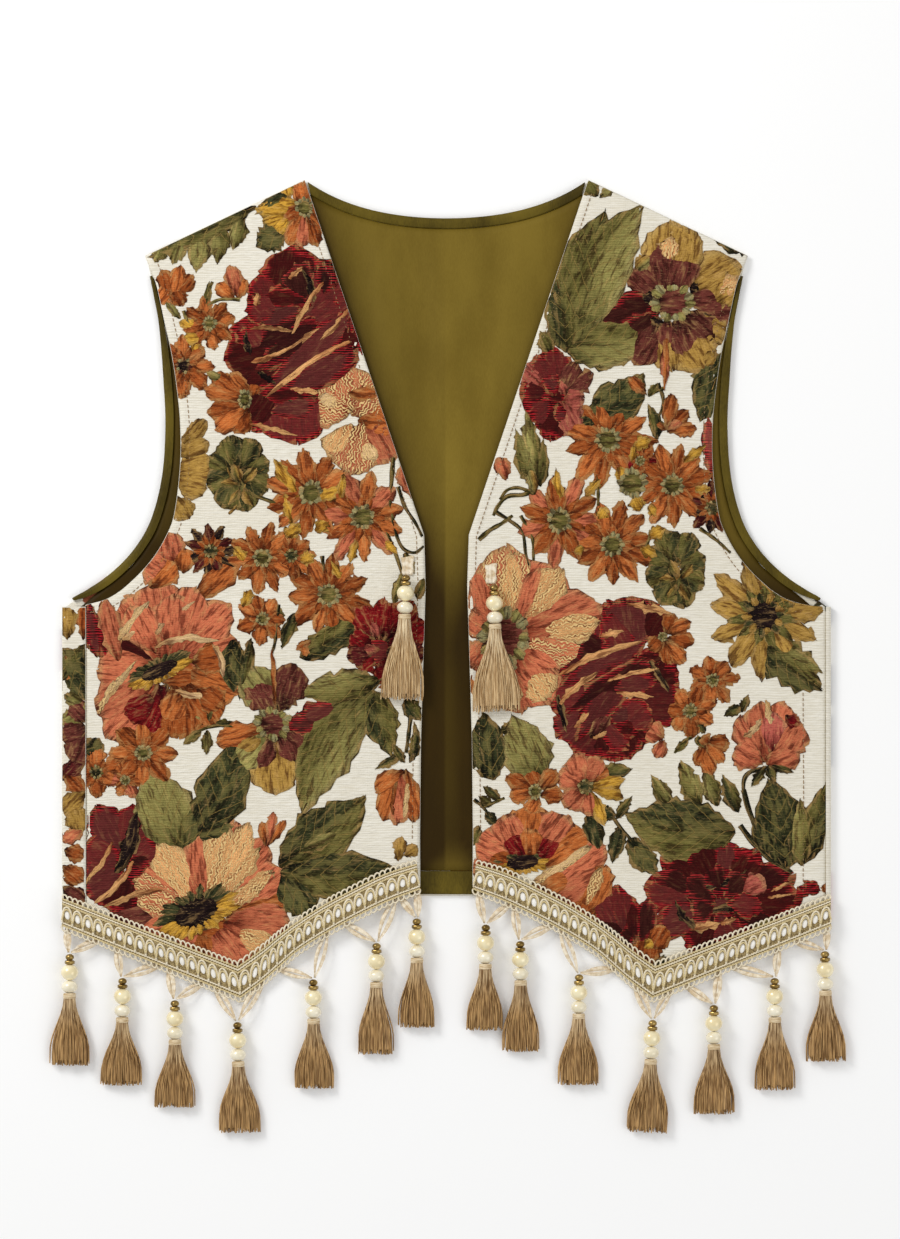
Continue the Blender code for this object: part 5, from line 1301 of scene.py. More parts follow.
PETALS = parsed(PETALS, 7, ("-", 0.1, 0.0))
LEAVES = parsed(LEAVES, 9, (0.0,))
DAISIES, CLUSTERS, ACCENTS, STEMS, CENTRES = map(parsed, (DAISIES, CLUSTERS, ACCENTS, STEMS, CENTRES))
print("petals listed", sum(map(len, PETALS.values())), "leaves", sum(map(len, LEAVES.values())))

# %% From flowers to petals
Petal = namedtuple(
    "Petal", "x0 y0 x1 y1 width first second level ribbed crinkled veined widest blunt frill teeth bend"
)
PLAIN = Petal(0, 0, 0, 0, 1, "coral", "coral", 1, 0.0, 0.0, 0.0, 1.45, 0.55, 0.1, 0.0, 0.0)


def round_petal(bed, x, y, angle, near, far, width, first, level, **extra):
    """A petal that points away from a flower's middle."""
    run_x, run_y = math.cos(angle), math.sin(angle)
    ends = {"x0": x + run_x * near, "y0": y + run_y * near, "x1": x + run_x * far, "y1": y + run_y * far}
    dyes = {"first": first, "second": extra.pop("second", first)}
    bed.append(PLAIN._replace(width=width, level=level, **dyes, **ends, **extra))


def centre_petals(bed, rng, kind, x, y, across, high, turn=0.0):
    """The middle of a flower: short tufts round an oval, dark inside and bright at their ends."""
    inside, tuft, tips, count = {
        "grey": ("olive", "sage", "sage", 12),
        "olive": ("dark_green", "olive", "sage", 10),
        "black": ("black", "dark_green", "ochre", 14),
        "dark": ("black", "maroon", "sage", 9),
        "ring": ("maroon", "moss", "sage", 14),
        "long": ("black", "dark_green", "yellow", 26),
    }[kind]
    lean = math.radians(turn)
    along_x, along_y = math.cos(lean), math.sin(lean)
    ends = {"x0": x - along_x * across * 0.9, "y0": y - along_y * across * 0.9}
    ends.update(x1=x + along_x * across * 0.9, y1=y + along_y * across * 0.9)
    bed.append(PLAIN._replace(width=high * 1.8, first=inside, second=inside, level=6, widest=1.0, **ends))
    for step in range(count):
        angle = 2.0 * math.pi * (step + rng.uniform(-0.3, 0.3)) / count
        low = math.sin(angle) < 0.1
        colour = tips if (kind != "long" and step % 2) or (kind == "long" and low) else tuft
        reach = rng.uniform(0.92, 1.18)
        inner = 0.45 if kind != "long" else 0.3
        off_x, off_y = across * math.cos(angle), high * math.sin(angle)
        spots = []
        for share in (inner, reach):
            spots.append(x + share * (off_x * along_x - off_y * along_y))
            spots.append(y + share * (off_x * along_y + off_y * along_x))
        width = max(across, high) * (0.42 if kind != "long" else 0.2)
        ends = dict(zip(("x0", "y0", "x1", "y1"), spots))
        bed.append(PLAIN._replace(width=width, first=colour, second=colour, level=7, frill=0.2, **ends))
    for step in range(count // 2):
        angle = rng.uniform(0.0, 2.0 * math.pi)
        share = rng.uniform(0.05, 0.4)
        off_x, off_y = across * share * math.cos(angle), high * share * math.sin(angle)
        spot_x, spot_y = x + off_x * along_x - off_y * along_y, y + off_x * along_y + off_y * along_x
        colour = tips if step % 2 else inside
        round_petal(bed, spot_x, spot_y, rng.uniform(0, 6.2), -0.7, 0.9, 1.1, colour, 8, widest=1.0)


def flower_bed(word):
    """Every petal of one panel."""
    rng = np.random.default_rng({"right": 11, "left": 12, "strip": 13}[word])
    bed = []
    for x0, y0, x1, y1, width, colour, level, thread, frill, bend_by in PETALS[word]:
        narrow = width < 5.0
        bed.append(PLAIN._replace(
            x0=x0, y0=y0, x1=x1, y1=y1, width=width, first=colour, second=colour, level=level,
            ribbed=float(thread == "r"), crinkled=float(thread == "c"), frill=frill, bend=bend_by,
            widest=1.0 if narrow else 1.45, blunt=0.4 if narrow else 0.55,
        ))
    for x0, y0, x1, y1, width, first, second, level, teeth, bend_by in LEAVES[word]:
        big = width > 12.0
        leaf = PLAIN._replace(
            x0=x0, y0=y0, x1=x1, y1=y1, width=width, first=first, second=second, level=level,
            veined=1.0 if big else 0.0, widest=0.85, blunt=0.85, frill=0.06, teeth=teeth, bend=bend_by,
        )
        bed.append(leaf)
        if big:
            bed.append(leaf._replace(
                width=1.3, first="ochre", second="dark_green", level=level + 1, veined=0.0, teeth=0.0, frill=0.3,
                x1=mix(x0, x1, 0.9), y1=mix(y0, y1, 0.9),
            ))
    for x, y, radius, first, second, count, turn, squash, kind in DAISIES.get(word, []):
        count = int(count)
        for step in range(count):
            angle = math.radians(turn) + 2.0 * math.pi * (step + rng.uniform(-0.12, 0.12)) / count
            far = radius * rng.uniform(0.86, 1.06)
            width = 3.0 * radius / count * rng.uniform(0.85, 1.1) * 1.45
            colour = first if step % 2 else second
            round_petal(bed, x, y, angle, radius * 0.08, far, width, colour, 2 + step % 2, widest=1.25, frill=0.16)
        for step in range(count):
            angle = math.radians(turn) + 2.0 * math.pi * (step + 0.5) / count
            far = radius * rng.uniform(0.5, 0.62)
            colour = "olive" if first == "ochre" else "rust"
            round_petal(bed, x, y, angle, radius * 0.1, far, 3.0 * radius / count, colour, 4, frill=0.2)
        middle = radius * (0.34 if kind == "black" else 0.26)
        centre_petals(bed, rng, kind, x, y, middle, middle * squash)
    for x, y, across, high in CLUSTERS.get(word, []):
        for step in range(8):
            angle = 2.0 * math.pi * step / 8 + 0.3
            ends = {"x0": x + 0.1 * across * math.cos(angle), "y0": y + 0.1 * high * math.sin(angle)}
            ends.update(x1=x + across * math.cos(angle), y1=y + high * math.sin(angle))
            ends.update(first="dark_green", second="olive", level=1 + step % 3)
            bed.append(PLAIN._replace(width=across * 0.95, frill=0.1, veined=0.6, **ends))
        for step in range(5):
            angle = math.radians(50 + 62 * step)
            middle_x, middle_y = x + 0.1 * across, y - 0.3 * high
            round_petal(
                bed, middle_x, middle_y, angle, across * 0.12, across * 0.72, across * 0.36, "ochre", 5,
                second="olive", widest=0.9, blunt=0.8,
            )
    for x0, y0, x1, y1, width in ACCENTS.get(word, []):
        bed.append(PLAIN._replace(
            x0=x0, y0=y0, x1=x1, y1=y1, width=width, level=5, first="yellow", second="yellow",
            frill=0.3, widest=1.0,
        ))
    for kind, x, y, across, high, turn in CENTRES.get(word, []):
        centre_petals(bed, rng, kind, x, y, across, high, turn)
    return bed, rng


BEDS = {word: flower_bed(word) for word in PETALS}
print("petals", {word: len(bed) for word, (bed, _) in BEDS.items()})

# %% Weaving the petals
ROWS, COLUMNS = 19, 7


def petal_shapes(bed, rng):
    """Place, thread coordinates, colour and marks of every point of every petal, row by row."""
    count = len(bed)
    t = (0.5 - 0.5 * np.cos(math.pi * np.linspace(0.0, 1.0, ROWS)))[None, :, None]
    s = np.linspace(-1.0, 1.0, COLUMNS)[None, None, :]
    held = {
        name: np.array([getattr(petal, name) for petal in bed], float)[:, None, None]
        for name in Petal._fields
        if name not in ("first", "second")
    }
    run_x, run_y = held["x1"] - held["x0"], held["y1"] - held["y0"]
    length = np.hypot(run_x, run_y)
    bow = np.sin(np.radians(held["bend"]))
    ahead_x, ahead_y = run_x / length, run_y / length
    slope = bow * (1.0 - 2.0 * t)
    norm = np.sqrt(1.0 + slope**2)
    side_x, side_y = (-ahead_y - ahead_x * slope) / norm, (ahead_x - ahead_y * slope) / norm
    outline = np.maximum(np.sin(math.pi * t ** held["widest"]), 0.0) ** held["blunt"]
    phase = rng.uniform(0.0, 2.0 * math.pi, (4, count, 1, 1))
    hand = np.sign(s)
    ruffle = 0.6 * np.sin(14.0 * t + phase[0] + hand) + 0.5 * np.sin(31.0 * t + phase[1] + 2.0 * hand)
    notch = (np.arange(ROWS) % 2 - 0.5)[None, :, None]
    half = 0.5 * held["width"] * np.maximum(outline, 0.03)
    half = half * (1.0 + np.abs(s) * (held["frill"] * ruffle - 1.6 * held["teeth"] * notch))
    far = t + held["frill"] * 0.3 * np.sin(7.0 * s + phase[2]) * t**3 + 0.02 * np.sin(17.0 * s + phase[3]) * t**3
    jag = rng.normal(0.0, 0.17, (2, count, ROWS, COLUMNS)) * np.minimum(held["width"] / 8.0, 1.0)
    jag = jag * (1.0 + 3.6 * np.floor(np.abs(s)) * np.sqrt(np.sin(math.pi * t)) * np.minimum(length / 34.0, 1.0))
    x = held["x0"] + run_x * far - ahead_y * length * bow * t * (1.0 - t) + side_x * s * half + jag[0]
    y = held["y0"] + run_y * far + ahead_x * length * bow * t * (1.0 - t) + side_y * s * half + jag[1]
    edge = np.minimum(half * (1.0 - np.abs(s)), length * (1.0 - t) * 0.9)
    edge = np.clip(edge + 0.9 * (held["width"] < 6.0), 0.0, 12.0)
    shades = np.array([[DYE_TABLE[getattr(petal, half)] for petal in bed] for half in ("first", "second")])
    which = smooth(0.5 + 2.0 * s)[..., None]
    dark, body, rim = (mix(shades[0, :, n][:, None, None], shades[1, :, n][:, None, None], which) for n in range(3))
    blotch = rng.normal(0.0, 0.1, (count, ROWS, COLUMNS))
    grow = smooth(t / 0.55 + blotch)[..., None]
    border = (smooth(1.0 - edge / (0.1 * held["width"] + 0.7)) * smooth(t / 0.4) * 0.7)[..., None]
    colour = mix(mix(dark, body, grow), rim, border)
    colour = colour * rng.normal(1.0, 0.09, (count, 1, 1, 1)) * (1.0 + 0.5 * blotch[..., None])
    puff = 0.24 * (1.0 - s**2) * np.sin(math.pi * t) * np.minimum(held["width"] / 12.0, 1.0)
    lift = 0.1 + 0.055 * held["level"] + puff
    marks = np.stack(np.broadcast_arrays(held["ribbed"], held["crinkled"], held["veined"], edge), axis=-1)
    uv = np.stack(np.broadcast_arrays(s * half, t * length), axis=-1)
    own = np.broadcast_to(rng.uniform(0.0, 1.0, (count, 1, 1, 1)), (count, ROWS, COLUMNS, 1))
    return np.stack([x, y, lift], axis=-1), np.concatenate([np.clip(colour, 0.0, 1.0), own], axis=-1), marks, uv


def stem_shapes(word, rng):
    """Stems are long narrow patches along their own curve."""
    t = np.linspace(0.0, 1.0, ROWS)
    s = np.linspace(-1.0, 1.0, COLUMNS)
    spots, colours, marks, uvs = [], [], [], []
    for colour, width, *flat in STEMS.get(word, []):
        points = np.reshape(flat, (-1, 2))
        x, y = flowing(points, t * (len(points) - 1))
        ahead = np.column_stack([np.gradient(x), np.gradient(y)])
        ahead /= np.maximum(np.hypot(*ahead.T), 1e-6)[:, None]
        half = 0.5 * width * (1.0 - 0.35 * t) * (1.0 + 0.12 * np.sin(19.0 * t + rng.uniform(0, 6)))
        px = x[:, None] - ahead[:, 1:] * s * half[:, None]
        py = y[:, None] + ahead[:, :1] * s * half[:, None]
        blank = np.zeros_like(px)
        spots.append(np.stack([px, py, 0.2 + 0.15 * (1.0 - s**2) + blank], axis=-1))
        dark, body, _ = DYE_TABLE[colour]
        shade = mix(dark, body, (0.45 + 0.55 * np.sin(23.0 * t) ** 2)[:, None, None]) + blank[..., None]
        colours.append(np.concatenate([shade, 0.5 + blank[..., None]], axis=-1))
        edge = (half[:, None] * (1.0 - np.abs(s))) * 1.5
        marks.append(np.stack([blank, blank, blank, edge], axis=-1))
        uvs.append(np.stack([s * half[:, None], 30.0 * t[:, None] + blank], axis=-1))
    return tuple(np.array(part) for part in (spots, colours, marks, uvs))


def inside(x, y, line):
    """True where a point lies inside a closed outline: it crosses an odd number of its steps."""
    found = np.zeros(np.shape(x), bool)
    for start, end in zip(line, line[1:]):
        if start[1] == end[1]:
            continue
        between = (y > min(start[1], end[1])) & (y <= max(start[1], end[1]))
        found ^= between & (x < start[0] + (y - start[1]) * (end[0] - start[0]) / (end[1] - start[1]))
    return found


def weave_flowers(name, word, line, top, node):
    """One mesh of all the petals of a panel, cut off where the panel's outline runs through them."""
    bed, rng = BEDS[word]
    parts = [petal_shapes(bed, rng)]
    if STEMS.get(word):
        parts.append(stem_shapes(word, rng))
    spots, colours, marks, uvs = (np.concatenate(group) for group in zip(*parts))
    x, y = spots[..., 0].ravel(), spots[..., 1].ravel()
    kept = inside(x, y, line)
    x[~kept], y[~kept], _ = nearest_on(x[~kept], y[~kept], line)
    z = top(x, y) + spots[..., 2].ravel()
    spots = np.column_stack([x, y, z]).reshape(spots.shape)
    mesh, order = patches(name, spots)
    points = len(spots) * ROWS * COLUMNS

    def ordered(values):
        return values.reshape(len(values), ROWS * COLUMNS, -1)[:, order].reshape(points, -1)

    for carried, values in (("dye", colours), ("marks", marks)):
        layer = mesh.attributes.new(carried, "FLOAT_COLOR", "POINT")
        layer.data.foreach_set("color", ordered(values).astype(np.float32).ravel())
    corners = np.empty(len(mesh.loops), np.int32)
    mesh.loops.foreach_get("vertex_index", corners)
    layer = mesh.uv_layers.new(name="threads")
    layer.data.foreach_set("uv", ordered(uvs)[corners].astype(np.float32).ravel())
    out = ~ordered(kept.reshape(len(spots), ROWS, COLUMNS, 1)).ravel()
    work = bmesh.new()
    work.from_mesh(mesh)
    lost = [face for face in work.faces if all(out[vert.index] for vert in face.verts)]
    bmesh.ops.delete(work, geom=lost, context="FACES")
    for face in work.faces:
        if face.normal.z < 0.0:
            face.normal_flip()
    work.to_mesh(mesh)
    work.free()
    return show(name, mesh, FLOWERS, "tapestry", node)


def side_strip_top(x, y):
    past = np.clip(np.abs(x) - FOLD_X, 0.0, 2.3)
    return 2.5 + np.sqrt(2.45**2 - past**2)


STRIP_LINE = np.array([(-238.2, -160.0), (-223.8, -160.0), (-223.8, 31.0), (-238.2, 31.0), (-238.2, -160.0)])
flowers = {}
for word, side in SIDES.items():
    panel_line = OUTLINES[word] * np.array([side, 1.0])
    flowers[word] = weave_flowers(
        "flowers_" + word, word, panel_line, lambda x, y, word=word: front_top(x, y, word), "front_" + word
    )
flowers["strip"] = weave_flowers("flowers_side_strip", "strip", STRIP_LINE, side_strip_top, "back_shell")
print("faces", {word: len(piece.data.polygons) for word, piece in flowers.items()})

# %% [markdown]
# ## The hem braid
# A gold braid as wide as a thumb closes both pointed hems. Two cords arch side by side over white oval cores,
# twisted cords run above and below them, and small loops stand along both edges. The band under them is woven.
# The cords are real curves here, because they throw the small shadows that make the braid look raised.

# %% Hem braid
SIDE_LOOPS, CENTRE_LOOPS = 17, 18
LOOPS = SIDE_LOOPS + CENTRE_LOOPS


def braid_places():
    ends = np.array(HEM_STOPS)[1:, :2]
    run = np.concatenate([[0.0], np.cumsum(np.hypot(*np.diff(ends, axis=0).T))])
    return np.concatenate([[0.0], SIDE_LOOPS + CENTRE_LOOPS * run / run[-1]])


BRAID_PLACES = braid_places()


def braid_place(word, loop, across, lift=0.0):
    """A point of a braid: loop counts from the side fold, and across goes from the lower edge to the upper."""
    stop = np.interp(loop, BRAID_PLACES, np.arange(len(BRAID_PLACES)))
    side = straight(HEM_STOPS[:2], np.minimum(stop, 1.0))
    centre = flowing(HEM_STOPS[1:], np.maximum(stop - 1.0, 0.0))
    low_x, low_y, high_x, high_y = (np.where(stop < 1.0, a, b) for a, b in zip(side, centre))
    x = SIDES[word] * mix(low_x, high_x, across)
    y = mix(low_y, high_y, across)
    swell = np.sin(math.pi * np.clip(across, 0.0, 1.0))
    return x, y, front_drop(x, y) + FRONT_WALL + 1.15 + 0.5 * swell + lift


def braid_path(word, loop, across, lift):
    return np.column_stack(np.broadcast_arrays(*braid_place(word, loop, across, lift)))


def snake(shift):
    """A cord that arches over each oval core, with wide tops and narrow feet. A second one runs just outside it."""
    turn = np.linspace(0.0, LOOPS, LOOPS * 22 + 1)
    phase = 2.0 * math.pi * turn
    height = np.sign(-np.cos(phase)) * np.abs(np.cos(phase)) ** 0.6
    loop = np.clip(turn - (0.115 + shift) * np.sin(phase), 0.02, LOOPS - 0.02)
    return loop, 0.45 + (0.2 + 1.3 * shift) * height, 0.62 + 0.3 * np.abs(height) - 4.0 * shift


def plait(across):
    """A row of twisted cord that runs along the braid."""
    turn = np.linspace(0.0, LOOPS, LOOPS * 12 + 1)
    return turn, across + 0.014 * np.sin(8.0 * math.pi * turn), 0.3 + 0.16 * np.cos(8.0 * math.pi * turn)


def picots(edge, outward):
    """Small loops of cord along one edge, two for each loop of the braid."""
    turn = np.linspace(0.0, 2.0 * LOOPS, 2 * LOOPS * 10 + 1)
    phase = 2.0 * math.pi * turn
    loop = turn / 2.0 - 0.11 * np.sin(phase)
    across = edge + outward * (0.045 - 0.075 * np.cos(phase))
    return np.clip(loop, 0.0, LOOPS), across, 0.1 + 0.35 * np.cos(phase / 2.0) ** 2


def oval_cores(word):
    """White padded cores, one under each arch of the cords."""
    rows, columns = 9, 7
    turn = np.arange(LOOPS) + 0.5
    along, over = np.meshgrid(np.linspace(-1.0, 1.0, columns), np.linspace(-1.0, 1.0, rows))
    round_x = along * np.sqrt(1.0 - over**2 / 2.0)
    round_y = over * np.sqrt(1.0 - along**2 / 2.0)
    dome = 1.0 - round_x**2 - round_y**2
    lift = 0.1 + 0.5 * np.sqrt(np.maximum(dome, 0.0))
    return np.stack(braid_place(word, turn[:, None, None] + 0.26 * round_x, 0.46 + 0.14 * round_y, lift), axis=-1)


PICOT_RADIUS = 0.54
BORDER_RADIUS = 0.56
braids = {}
for word in SIDES:
    def band_place(u, v, word=word):
        x, y, z = braid_place(word, LOOPS * u, 0.06 + 0.88 * v)
        return x, y, z - 0.35

    node = "braid_" + word
    band = cloth("braid_band_" + word, 210, 8, band_place, BRAID_THICK, BRAID_BASE, "gold_braid", node)
    pieces = []
    for label, shift, radius, finish_of in (("inner", 0.0, 0.52, CORD_GOLD), ("outer", 0.06, 0.62, CORD_CREAM)):
        arches = threads([braid_path(word, *snake(shift))], radius, sides=6)
        pieces.append(show(f"braid_arches_{label}_{word}", arches, finish_of, "gold_braid", node))
    rims = [braid_path(word, *picots(0.0, -1.0)), braid_path(word, *picots(1.0, 1.0))]
    rims += [braid_path(word, *plait(across)) for across in (0.145, 0.865)]
    borders = [braid_path(word, *plait(across)) for across in (0.055, 0.78, 0.95)]
    rim_cords = threads(rims, PICOT_RADIUS, sides=6)
    pieces.append(show("braid_picots_" + word, rim_cords, CORD_CREAM, "gold_braid", node))
    border_cords = threads(borders, BORDER_RADIUS, sides=6)
    pieces.append(show("braid_edges_" + word, border_cords, CORD_GOLD, "gold_braid", node))
    core_mesh, _ = patches("braid_cores_" + word, oval_cores(word))
    pieces.append(show("braid_cores_" + word, core_mesh, CORE_WHITE, "gold_braid", node))
    braids[word] = (band, pieces)
print("braids with", LOOPS, "loops each")

# %% [markdown]
# ## Ribbon loops and tabs
# Each tassel hangs from a loop of sheer ribbon, its two legs caught under the braid. The legs are flat strips,
# a pair on each side, that narrow where they run through the brass bead. A short tab holds each chest tassel.

# %% Ribbon loops and tabs
# A tassel: name, top x, top y, lean in degrees, length, half width at the foot, and the two feet of its loop.
Tassel = namedtuple("Tassel", "name x y lean length half_width foot_x other_x")
HEM_TASSELS = [
    Tassel("hem_01", -233.4, -183.2, 0.4, 70.7, 13.3, -235.3, -214.0),
    Tassel("hem_02", -200.7, -198.1, 0.4, 68.2, 13.8, -204.5, -176.0),
    Tassel("hem_03", -168.3, -211.9, 0.0, 68.0, 13.0, -172.4, -149.9),
    Tassel("hem_04", -129.6, -225.4, -1.2, 70.1, 13.6, -145.1, -112.5),
    Tassel("hem_05", -82.5, -198.9, -0.3, 69.3, 13.0, -106.3, -73.6),
    Tassel("hem_06", -43.3, -176.4, 0.3, 70.7, 11.7, -65.0, -31.0),
    Tassel("hem_07", -18.4, -161.2, -0.2, 69.1, 12.0, -29.6, -18.0),
    Tassel("hem_08", 24.4, -165.0, 0.6, 67.2, 11.9, 19.4, 40.1),
    Tassel("hem_09", 45.7, -175.2, -0.6, 70.1, 11.7, 41.6, 67.0),
    Tassel("hem_10", 82.2, -195.8, 0.6, 70.2, 12.9, 70.0, 106.2),
    Tassel("hem_11", 127.9, -224.1, 3.0, 71.3, 13.3, 116.1, 139.8),
    Tassel("hem_12", 165.7, -214.8, 0.0, 69.4, 13.3, 146.9, 169.4),
    Tassel("hem_13", 203.4, -198.1, -0.2, 71.1, 13.2, 174.2, 206.1),
    Tassel("hem_14", 234.5, -181.5, -0.8, 69.9, 13.2, 213.3, 235.9),
]
CHEST_TASSELS = [
    Tassel("chest_right", -24.9, 51.7, 2.2, 79.0, 14.0, 0.0, 0.0),
    Tassel("chest_left", 29.4, 45.6, -1.4, 80.4, 15.8, 0.0, 0.0),
]
PEARL_RADIUS = 5.4
SKIRT_THICK = 6.2


def rest_height(tassel):
    """Height of a tassel's axis: on the table, or on the front that it hangs over."""
    if tassel.foot_x:
        return PEARL_RADIUS + 0.5
    word = "right" if tassel.x < 0.0 else "left"
    spots = np.array([tassel.y - away for away in (12.0, 30.0, 50.0, 76.0)])
    middle = front_drop(tassel.x, spots) + bust_swell(tassel.x, spots)
    return max(front_top(np.full(4, tassel.x), spots, word).max(), middle.max() + FRONT_WALL) + PEARL_RADIUS + 0.5


def ribbon_leg(tassel, foot_x, outward, shift, rng):
    """One flat strip from its foot under the braid to the bead, as rows along and columns across."""
    down = np.linspace(0.0, 1.0, 15)[:, None]
    across = np.linspace(-1.0, 1.0, 5)[None, :]
    foot_y = braid_low_y(foot_x) + 1.6
    end_x, end_y = tassel.x + outward * 0.8, tassel.y + 0.4
    run_x, run_y = end_x - foot_x, end_y - foot_y
    length = math.hypot(run_x, run_y)
    side_x, side_y = -run_y / length, run_x / length
    half = (0.5 + 0.75 * np.sin(math.pi * np.minimum(down / 0.92, 1.0)) ** 0.9) * rng.uniform(0.85, 1.15)
    bow = shift * np.sin(math.pi * down) * length * rng.uniform(0.06, 0.085)
    x = foot_x + run_x * down + side_x * (half * across + bow)
    y = foot_y + run_y * down + side_y * (half * across + bow)
    z_foot = front_drop(foot_x, foot_y) + FRONT_WALL - 0.6
    lift = 0.5 * np.sin(math.pi * down) + 0.35 * np.sin(across * 2.2 + down * 5.0 + shift)
    z = mix(z_foot, rest_height(tassel), smooth(down)) + lift + 0.25 * shift
    return np.stack([x, y, z], axis=-1)


ribbons = []
for number, tassel in enumerate(HEM_TASSELS):
    rng = np.random.default_rng(40 + number)
    side = 1.0 if tassel.other_x > tassel.foot_x else -1.0
    legs = [
        ribbon_leg(tassel, foot_x, outward * side, shift, rng)
        for foot_x, outward in ((tassel.foot_x, -1.0), (tassel.other_x, 1.0))
        for shift in (-1.0, 0.9)
    ]
    mesh, _ = patches("ribbon_" + tassel.name, np.array(legs))
    piece = show("ribbon_" + tassel.name, mesh, RIBBON, "cream_ribbon", "loops_" + tassel.name)
    add_wall(piece, 0.22)
    ribbons.append(piece)

# A tab: the tassel's name, x, top y, bottom y, half width.
TABS = [("chest_right", -24.0, 62.6, 51.2, 3.3), ("chest_left", 27.6, 58.0, 45.9, 3.1)]


def tab_place(x_mid, top_y, bottom_y, half, word):
    def place(u, v):
        flare = 1.0 + 0.22 * np.cos(math.pi * v) ** 2 - 0.35 * np.exp(-((v / 0.12) ** 2))
        x = x_mid + half * (2.0 * u - 1.0) * flare
        y = mix(bottom_y, top_y, v) + 0.5 * np.sin(2.2 * (2.0 * u - 1.0)) * v
        fold = 0.35 * np.cos(3.0 * math.pi * (2.0 * u - 1.0))
        return x, y, front_top(x, y, word) + 0.95 + fold * (1.0 - 0.5 * v)

    return place


tabs = []
for name, x_mid, top_y, bottom_y, half in TABS:
    word = name.split("_")[1]
    tab_cut = ("ribbon_" + name, 14, 12, tab_place(x_mid, top_y, bottom_y, half, word), 0.5)
    tabs.append(cloth(*tab_cut, RIBBON, "cream_ribbon", "tab_" + name))
print("ribbons", len(ribbons), "tabs", len(tabs))

# %% [markdown]
# ## Beads
# A brass bead, a fluted brass disc, a golden pearl and a smaller white pearl are threaded above each tassel. Each
# is turned round its thread, so the profile is spun round the tassel's axis.

# %% Beads
FLUTES = 8.0


def spun(work, profile, slot_number, sides=28):
    """Spins a profile of (radius, distance down) round the Y axis into an open bead mesh."""
    verts = [work.verts.new((radius, -away, 0.0)) for radius, away in profile]
    edges = [work.edges.new(pair) for pair in zip(verts, verts[1:])]
    before = set(work.faces)
    turn = {"cent": (0.0, 0.0, 0.0), "axis": (0.0, 1.0, 0.0), "angle": 2.0 * math.pi}
    bmesh.ops.spin(work, geom=verts + edges, steps=sides, use_merge=True, **turn)
    for face in set(work.faces) - before:
        face.material_index = slot_number


def ball_profile(centre, radius, half_height, steps=12):
    angles = np.linspace(0.0, math.pi, steps + 1)
    return [(radius * math.sin(angle), centre - half_height * math.cos(angle)) for angle in angles]


def bead_stack():
    """The stack drawn down from the origin along -Y."""
    work = bmesh.new()
    spun(work, ball_profile(2.5, 2.7, 2.1), 2)
    disc = [(0.6, 4.3), (2.3, 4.35), (2.85, 4.75), (2.95, 5.6), (2.85, 6.45), (2.3, 6.9), (0.6, 6.95)]
    spun(work, disc, 2, 32)
    spun(work, ball_profile(11.8, 5.35, 5.0, 14), 0)
    spun(work, ball_profile(20.8, 5.0, 4.0), 1)
    bmesh.ops.remove_doubles(work, verts=work.verts, dist=0.001)
    for vert in work.verts:
        if 4.5 < -vert.co.y < 6.7 and math.hypot(vert.co.x, vert.co.z) > 2.0:
            flute = 1.0 + 0.07 * math.cos(FLUTES * math.atan2(vert.co.z, vert.co.x))
            vert.co.x, vert.co.z = vert.co.x * flute, vert.co.z * flute
    bmesh.ops.recalc_face_normals(work, faces=work.faces)
    bmesh.ops.scale(work, vec=(MM, MM, MM), verts=work.verts)
    return work


def lay(points, tassel, start, height):
    """Points drawn down from the origin, turned to the tassel's lean and put in place."""
    x, y, z = np.moveaxis(np.asarray(points, float), -1, 0)
    y = y - start
    angle = math.radians(-tassel.lean)
    out_x = tassel.x + x * math.cos(angle) - y * math.sin(angle)
    out_y = tassel.y + x * math.sin(angle) + y * math.cos(angle)
    return np.stack([out_x, out_y, z + height], axis=-1)


stack = bead_stack()
ALL_TASSELS = HEM_TASSELS + CHEST_TASSELS
for tassel in ALL_TASSELS:
    mesh = bpy.data.meshes.new("beads_" + tassel.name)
    stack.to_mesh(mesh)
    place_points(mesh, lay(points_of(mesh) / MM, tassel, 0.0, rest_height(tassel)))
    for finish_of in (PEARL_GOLD, PEARL_WHITE, BRASS):
        mesh.materials.append(finish_of)
    show("bead_stack_" + tassel.name, mesh, None, "pearl_and_brass", "beads_" + tassel.name)
stack.free()
print("bead stacks", len(ALL_TASSELS))

# %% [markdown]
# ## Tassels
# A tassel is a hank of rayon thread, bound at its neck. The threads open out below the neck and lie almost flat on
# the table, with uneven ends. A bound core fills the middle, so that no light passes between the threads.

# %% Tassels
BEADS_LENGTH = 24.6
NECK_LENGTH = 3.7
NECK_RADIUS = 3.7
SKIRT_START = BEADS_LENGTH + NECK_LENGTH + 0.3
THREADS = 132
BINDING_TURNS = 5.0


def tassel_strands(tassel, rng):
    """Paths of the threads, from inside the bound neck to the loose ends."""
    skirt = tassel.length - SKIRT_START
    far = np.linspace(0.0, 1.0, 9)
    droop = PEARL_RADIUS - SKIRT_THICK / 2.0
    paths = []
    for _ in range(THREADS):
        ring = math.sqrt(rng.uniform(0.12, 1.0))
        angle = rng.uniform(0.0, 2.0 * math.pi)
        side, up = ring * math.sin(angle), ring * math.cos(angle)
        spread = smooth(far / 0.8) * 0.95 + 0.05 * far
        wide = mix(NECK_RADIUS * 0.92, tassel.half_width * 0.97, spread)
        thick = mix(NECK_RADIUS * 0.92, SKIRT_THICK / 2.0 - 0.2, smooth(far / 0.6))
        wave = rng.uniform(-0.55, 0.55) * np.sin(far * rng.uniform(3.0, 7.0) + rng.uniform(0.0, 6.0)) * far
        reach = skirt * rng.uniform(0.93, 1.0) * far
        paths.append(np.column_stack([side * wide + wave, 0.8 - reach, up * thick - droop * smooth(far)]))
    return paths


